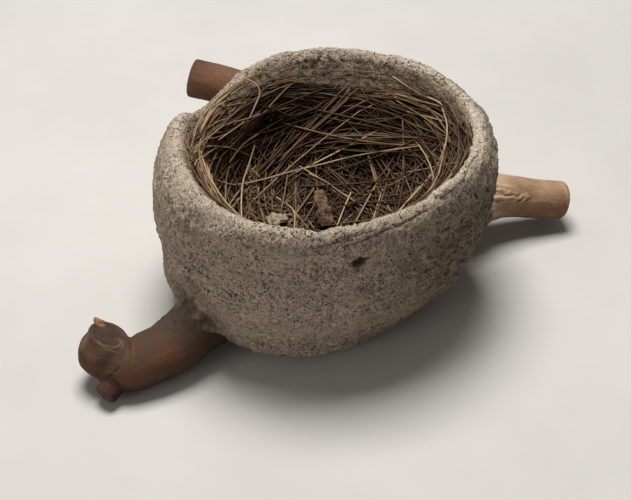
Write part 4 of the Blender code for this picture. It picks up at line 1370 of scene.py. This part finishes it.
def barkFinish(name, tones, film, end):
    made = Finish(name, 0.78, 0.2)
    grain = made.vector("grain")
    streak = made.grain((0.9, 0.9, 0.13), 4.0, 0.55, 0.3, source=grain)
    hair = made.grain((4.2, 4.2, 0.5), 3.0, 0.6, 0.2, source=grain)
    broad = made.grain(42.0, 4.0, 0.55)
    speck = made.grain(1300.0, 2.0, 0.6)
    low, mid, high = tones
    tone = made.stops(broad, ramp((0.3, *low), (0.5, *mid), (0.74, *high)))
    tone = made.layered(tone, [(streak, 0.28, [(0.3, *low), (0.5, *mid), (0.72, *high)])])
    tone = made.layered(tone, [(hair, 0.26, [(0.3, 60, 44, 34), (0.7, 205, 188, 170)]),
                               (speck, 0.26, [(0.34, 52, 40, 32), (0.66, 206, 194, 180)])], "OVERLAY")
    smear = made.times(made.value("film"), made.span(made.grain(110.0, 5.0, 0.65), 0.22, 0.58))
    out = made.mix(smear, tone, srgb(*film))
    face = made.stops(made.grain(500.0, 4.0, 0.6), ramp(*end))
    out = made.mix(made.value("cut"), out, face)
    # painted shade: the underside of each limb is darkened
    out = made.stained(out, [("under", 0.7, low)], "MULTIPLY")
    lit = made.mix(0.35, out, srgb(*high))
    out = made.stained(out, [
        ("pale", 0.8, lit), ("orange", 0.6, (120, 66, 40)), ("rust", 0.35, (112, 68, 44)),
        # the folds are dented and painted darker, as the shade in their creases
        ("raw", 0.30, (142, 108, 82)), ("chip", 0.80, (150, 108, 76)), ("foldShade", 0.50, (112, 82, 60)),
        # the dark marks are cracks coloured dark, partly their own colour and partly painted shade in them
        ("dark", 0.75, (34, 22, 16)),
    ])
    height = made.math("ADD", made.times(streak, 0.8), made.math("ADD", hair, speck))
    made.bump(height, 0.6, 0.22)
    return made.colour(out)


barkStains = ("dark", "pale", "orange", "rust", "raw", "chip", "foldShade")


def finishLimb(piece, rows, finish, node, marks, film, cut):
    points, normals = getPoints(piece), getNormals(piece)
    along, radius, out, ahead = nearLine(points, rows)
    # the bark's own directions, round the limb and along it, so that noise runs along it without a seam
    across = unit(np.cross(ahead, [0.0, 0.0, 1.0]))
    radial = unit(out)
    angle = np.arctan2(dot(radial, np.cross(across, ahead)), dot(radial, across))[:, 0]
    grain = np.stack([10 * np.cos(angle), 10 * np.sin(angle), along], -1)
    ends = cut(points)
    dent, tint = scored(piece, points, marks)
    lift = 0.36 * noise(grain, (8.0, 8.0, 14.0), 23) + 0.10 * noise(grain, (1.6, 1.6, 8.0), 21)
    # the torn bark is crumpled along the limb
    crumple = 1.3 * noise(grain, (2.0, 2.0, 6.0), 22) + 0.5 * noise(points, 1.5, 30)
    lift += tint.get("crumple", 0.0) * crumple
    lift = lift * (1 - ends) + 0.04 * noise(points, 1.3, 24) - dent
    setPoints(piece, points + lift[:, None] * normals)
    up = out[:, 2] / radius
    values = {kind: tint.get(kind, np.zeros(len(points))) for kind in barkStains}
    values |= {"grain": grain, "film": film(points, up), "cut": ends}
    # painted shade on the underside
    values["under"] = falls(up, -0.1, 0.7) * (1 - ends)
    for kind, data in values.items():
        addValue(piece.data, kind, data)
    thinned(piece, stem["triangles"])
    piece.data.materials.append(finish)
    dress(piece, "bark", [node])
    return piece


def endMask(rows, reach, fade):
    # 1 on the cut face at the end of the line, falling to 0 over fade
    end = np.array(rows[-1][:3])
    way = unit(end - np.array(rows[-2][:3]))
    return lambda points: rises((points - end) @ way, -reach, fade)


frontLimb = {
    "knuckle": (-94.6, -66.2, 16.0), "knuckleRadius": 11.6, "bend": (-84.5, -66.0, 17.0),
    "sawnStub": [
        (-94.5, -66.2, 12.0, 10.4), (-94.0, -65.8, 18.0, 9.9), (-92.8, -65.0, 26.0, 8.3),
        (-91.6, -64.4, 32.0, 7.6),
    ],
    "sawFace": (-92.8, -65.1, 25.2), "sawNormal": (0.35, 0.05, 0.93),
    "splinter": [
        (-96.0, -59.4, 19.0, 2.6), (-96.8, -58.8, 23.0, 2.0), (-97.8, -58.0, 26.2, 1.2),
        (-98.9, -57.4, 28.2, 0.4),
    ],
    "filler": (-89.6, -68.4, 13.0), "fillerRadius": 11.2,
    "twigStub": [
        (-86.0, -70.5, 12.0, 5.4), (-89.8, -77.0, 8.6, 5.0), (-94.0, -83.0, 6.1, 4.7),
    ],
    "tones": [(58, 34, 21), (86, 55, 37), (114, 78, 54)], "film": (67, 55, 44),
    "end": [
        (0.3, 49, 38, 30), (0.6, 67, 52, 42), (0.8, 90, 71, 58),
    ],
    "marks": [
        ("orange", 0.45, 0.45, [(129.5, 340), (129.8, 346), (129.3, 352)]),
        ("dark", 0.34, 0.30, [(129.5, 340), (129.8, 346), (129.3, 352)]),
        ("chip", 2.20, 0.00, [(97, 317), (99, 321), (102, 324)]),
        ("raw", 0.50, -0.30, [(97, 341), (103, 346), (109, 347)]),
        ("raw", 0.60, -0.35, [(112, 348.5), (117, 347), (121, 344)]),
        ("raw", 0.70, -0.30, [(119, 339), (122, 343), (123, 349)]),
        ("raw", 2.20, 0.00, [(88, 335), (84, 341), (82, 347)]),
        ("raw", 0.50, -0.20, [(99, 344), (106, 349), (114, 351)]),
        ("pale", 0.40, 0.12, [(124, 342), (125, 352), (124, 364)]),
        ("rust", 0.40, 0.15, [(126.5, 343), (127.5, 354), (126, 366)]),
        ("pale", 0.35, 0.10, [(132.5, 343), (133.5, 354), (132, 366)]),
        ("dark", 0.32, 0.40, [(119, 367), (117, 370), (113, 372)]),
        ("dark", 0.40, 0.45, [(113, 374), (108, 377), (105, 381)]),
        ("dark", 0.35, 0.35, [(104, 381), (112, 385), (118, 391)]),
        ("dark", 0.30, 0.25, [(110, 378), (117, 383), (123, 388)]),
        ("pale", 0.45, -0.15, [(104, 318.5), (112, 324), (120, 331), (127, 338)]),
        ("rust", 5.00, 0.00, [(120, 378), (134, 377), (150, 372)]),
        ("rust", 4.00, 0.00, [(150, 362), (180, 352)]), ("rust", 2.40, 0.00, [(86, 352), (92, 362)]),
        ("pale", 0.60, -0.10, [(100, 349), (106, 353)]), ("pale", 0.50, -0.10, [(113, 352), (119, 353)]),
    ],
}


def makeFrontLimb():
    # the stem up to the fork, its knuckle, the sawn stub, the splinter and the cut twig become one skin
    knot = np.radians(np.linspace(-86, 86, 40))[:, None]
    turn = np.linspace(0, 2 * math.pi, 64, endpoint=False)[None, :]
    ball = np.stack([np.cos(knot) * np.cos(turn), np.cos(knot) * np.sin(turn), np.sin(knot) + 0 * turn], -1)
    filler = np.array(frontLimb["filler"]) + frontLimb["fillerRadius"] * ball
    ball = np.array(frontLimb["knuckle"]) + frontLimb["knuckleRadius"] * ball
    face, normal = np.array(frontLimb["sawFace"]), unit(np.array(frontLimb["sawNormal"]))
    stub = pathTube(frontLimb["sawnStub"], 64, 40, knots=0.01)
    sawn = [flattened(rings, face, normal) for rings in (ball, stub)]
    splinter = pathTube(frontLimb["splinter"], 20, 20, flat=2.0)
    twig = pathTube(frontLimb["twigStub"], 40, 30, knots=0.02)
    piece = merged("frontLimb", [halfStem(1), *sawn, filler, splinter, twig], stem["cell"])
    # the inside of the bend is smoothed most and the edge of the sawn face least
    points = getPoints(piece)
    bend = bell(np.linalg.norm(points - frontLimb["bend"], axis=1), 0, 11.0)
    flat = np.abs((points - face) @ normal) < 1.0
    soften(piece, 50, weight=np.where(flat, 0.12, 0.08 + 0.92 * bend))
    # the knuckle is knobbly rather than round
    points, normals = getPoints(piece), getNormals(piece)
    rough = bell(np.linalg.norm(points - frontLimb["knuckle"], axis=1), 0, 15.0)
    rough = rough * (np.abs((points - face) @ normal) > 1.0)
    knobs = 1.1 * noise(points, 7.0, 25) + 0.5 * noise(points, 3.4, 26)
    setPoints(piece, points + (rough * knobs)[:, None] * normals)
    twigEnd = endMask(frontLimb["twigStub"], 0.5, 0.1)

    def cut(points):
        wide = np.linalg.norm(points - face, axis=1) + 0.9 * noise(points, 3.0, 27)
        sawn = np.where(np.abs((points - face) @ normal) < 0.6, falls(wide, 7.2, 0.5), 0)
        twig = twigEnd(points) * (np.linalg.norm(points - frontLimb["twigStub"][-1][:3], axis=1) < 6.5)
        return np.maximum(sawn, twig)

    def film(points, up):
        near = rises(points[:, 0], -90, 26)
        return np.clip(0.35 + 0.50 * up + 0.45 * near + 0.25 * noise(points, 5.0, 28), 0, 1) * 0.9

    bark = barkFinish("barkFront", frontLimb["tones"], frontLimb["film"], frontLimb["end"])
    return finishLimb(piece, stem["rows"], bark, "front_limb", frontLimb["marks"], film, cut)


rightLimb = {
    "tones": [(128, 98, 74), (176, 146, 118), (208, 182, 152)], "film": (184, 162, 138),
    "end": [(0.3, 96, 74, 58), (0.6, 140, 112, 90), (0.8, 172, 144, 118)],
    "marks": [
        # folds of torn bark where the limb leaves the mud
        ("crumple", 2.60, 0.0, [(494, 187), (504, 190), (514, 194)]),
        ("crumple", 2.00, 0.0, [(494, 198), (504, 199), (516, 198)]),
        ("crumple", 1.60, 0.0, [(516, 199), (524, 197), (531, 195)]),
        ("pale", 0.90, -0.32, [(494, 184.5), (500, 184), (507, 186)]),
        ("foldShade", 0.36, 0.30, [(494, 188), (501, 187), (509, 190)]),
        ("pale", 0.80, -0.36, [(494, 191), (500, 190), (506, 191)]),
        ("pale", 0.60, -0.30, [(505, 193.5), (511, 192.5), (518, 194)]),
        ("foldShade", 0.32, 0.40, [(494, 194.5), (499, 195), (504, 193.5)]),
        ("foldShade", 0.40, 0.40, [(503, 195.5), (509, 196), (514, 195)]),
        ("pale", 0.90, -0.36, [(495, 197.5), (500, 197), (505, 198.5)]),
        ("pale", 0.60, -0.28, [(506, 198), (510, 197), (515, 197.5)]),
        ("foldShade", 0.36, 0.40, [(495, 201), (500, 200.5), (507, 201)]),
        ("foldShade", 0.44, 0.45, [(517, 202), (521, 200), (524, 197.5)]),
        ("dark", 0.50, 0.30, [(530, 195), (531, 195.5)]),
        ("pale", 0.60, -0.32, [(520, 197), (524, 194), (529, 193)]),
        ("foldShade", 0.34, 0.30, [(524, 201), (527, 199)]),
        ("pale", 0.50, -0.35, [(520, 203), (524, 200.5), (527, 197)]),
        ("pale", 0.60, -0.05, [(559, 183), (565, 190), (568, 203)]),
        ("rust", 4.00, 0.00, [(500, 208), (530, 210), (560, 212)]),
        ("orange", 0.90, 0.00, [(564, 203), (566, 208)]),
    ],
}


def makeRightLimb():
    piece = merged("rightLimb", [halfStem(-1)], stem["cell"])
    soften(piece, 4)

    def film(points, up):
        return np.minimum(falls(points[:, 0], 94, 24), 0.6) * np.clip(0.6 + up, 0, 1)

    bark = barkFinish("barkRight", rightLimb["tones"], rightLimb["film"], rightLimb["end"])
    cut = endMask(stem["rows"], 1.2, 0.8)
    return finishLimb(piece, stem["rows"], bark, "right_limb", rightLimb["marks"], film, cut)


rearLimb = {
    "rows": [
        (57, 34, 21.0, 9.4), (53, 44, 23.5, 9.8), (36, 58, 28.5, 9.8), (8, 72, 36.2, 9.5),
        (-22, 85, 42.8, 9.4), (-50, 94.8, 47.2, 9.4), (-65.4, 98.6, 49.4, 9.5),
    ],
    "tones": [(68, 45, 33), (99, 70, 52), (130, 97, 76)], "film": (110, 87, 72),
    "end": [(0.3, 80, 62, 51), (0.6, 106, 84, 70), (0.8, 128, 104, 88)],
    "marks": [("rust", 5.0, 0.0, [(210, 80), (226, 88)])],
}


def makeRearLimb():
    piece = merged("rearLimb", [pathTube(rearLimb["rows"], 90, 260, knots=0.012, dome=1.2)], stem["cell"])
    soften(piece, 4)

    def film(points, up):
        patches = 0.2 + 0.4 * noise(points, 9.0, 29) + (points[:, 0] + 40) / 60
        return np.clip(patches, 0, 0.6) * np.clip(0.6 + up, 0, 1)

    bark = barkFinish("barkRear", rearLimb["tones"], rearLimb["film"], rearLimb["end"])
    cut = endMask(rearLimb["rows"], 0.8, 0.6)
    return finishLimb(piece, rearLimb["rows"], bark, "rear_limb", rearLimb["marks"], film, cut)


for made in (makeFrontLimb(), makeRightLimb(), makeRearLimb()):
    print(made.name, len(made.data.polygons), "faces")


scraps = {
    # x, y, z and radius along each scrap, how flat it is, how far wrinkles move its surface, how narrow its
    # waist is, how much darker its two ends are, and its dark, middle and light tones
    "barkChip": {
        "rows": [(0.8, -11.0, 41.6, 2.0), (0.4, -8.0, 43.4, 3.4), (-0.4, -4.8, 45.9, 3.5),
                 (-1.2, -2.3, 47.5, 2.6), (-2.0, 0.2, 49.2, 2.6), (-2.4, 3.0, 51.0, 1.7)],
        "flat": 0.44, "wrinkle": 1.5, "waist": 0.16, "fade": (0.26, 0.0),
        "tones": [(44, 33, 26), (96, 73, 56), (148, 114, 90)], "node": "bark_chip", "slot": "chip",
    },
    "leafScrap": {
        "rows": [(-25.4, -6.4, 40.4, 2.4), (-22.6, -5.4, 41.2, 4.4), (-19.6, -4.4, 41.4, 4.0),
                 (-17.2, -3.2, 40.8, 2.2)],
        "flat": 0.30, "wrinkle": 2.4, "waist": 0.0, "fade": (0.0, 0.0),
        "tones": [(92, 79, 64), (144, 127, 106), (184, 167, 144)], "node": "leaf_scrap", "slot": "leaf",
    },
}


def scrapFinish(name, low, mid, high):
    made = Finish(name, 0.8, 0.2)
    broad = made.grain(260.0, 5.0, 0.6, 0.5)
    fine = made.grain((1200, 400, 1200), 3.0, 0.6)
    out = made.stops(broad, ramp((0.34, *low), (0.5, *mid), (0.7, *high)))
    out = made.layered(out, [(fine, 0.45, [(0.34, *low), (0.66, *high)])])
    # painted shade in the hollows, and the darker end
    out = made.stained(out, [("darkEndAndHollowShade", 0.8, low)])
    made.bump(fine, 0.6, 0.3)
    return made.colour(out)


def makeScraps():
    # flat tubes whose edge is drawn in and out and whose surface is moved outward by creases of noise
    for name, form in scraps.items():
        rings = pathTube(form["rows"], 60, 70, knots=0.06, flat=form["flat"])
        centre = rings.mean(axis=1, keepdims=True)
        out = unit(rings - centre)
        crease = noise(rings, (1.7, 3.8, 1.7), 31) + 0.5 * noise(rings, 1.0, 32)
        # the edge is drawn in and out so that no scrap ends in a smooth oval
        run = np.linspace(0, 1, len(rings))[:, None, None]
        edge = 1 + 0.05 * np.sin(19 * run) + 0.10 * noise(rings, 2.2, 33)[..., None]
        edge = edge - form["waist"] * bell(run, 0.52, 0.07)
        rings = centre + (rings - centre) * edge + form["wrinkle"] * 0.5 * crease[..., None] * out
        # painted shade darkens the hollows, and one end is darker
        darkEndAndHollowShade = np.interp(run[..., 0], [0.35, 0.65], form["fade"]) + 0.4 * np.clip(-crease, 0, 1)
        darkEndAndHollowShade = closedRings(np.repeat(darkEndAndHollowShade[..., None], 3, axis=2))[:, 0]
        finish = scrapFinish(name, *form["tones"])
        faces = tubeFaces(1, *rings.shape[:2])
        addPiece(name, closedRings(rings), faces, finish, form["slot"], [form["node"]],
                 {"darkEndAndHollowShade": np.clip(darkEndAndHollowShade, 0, 1)})


makeScraps()
print("scraps on the lining")
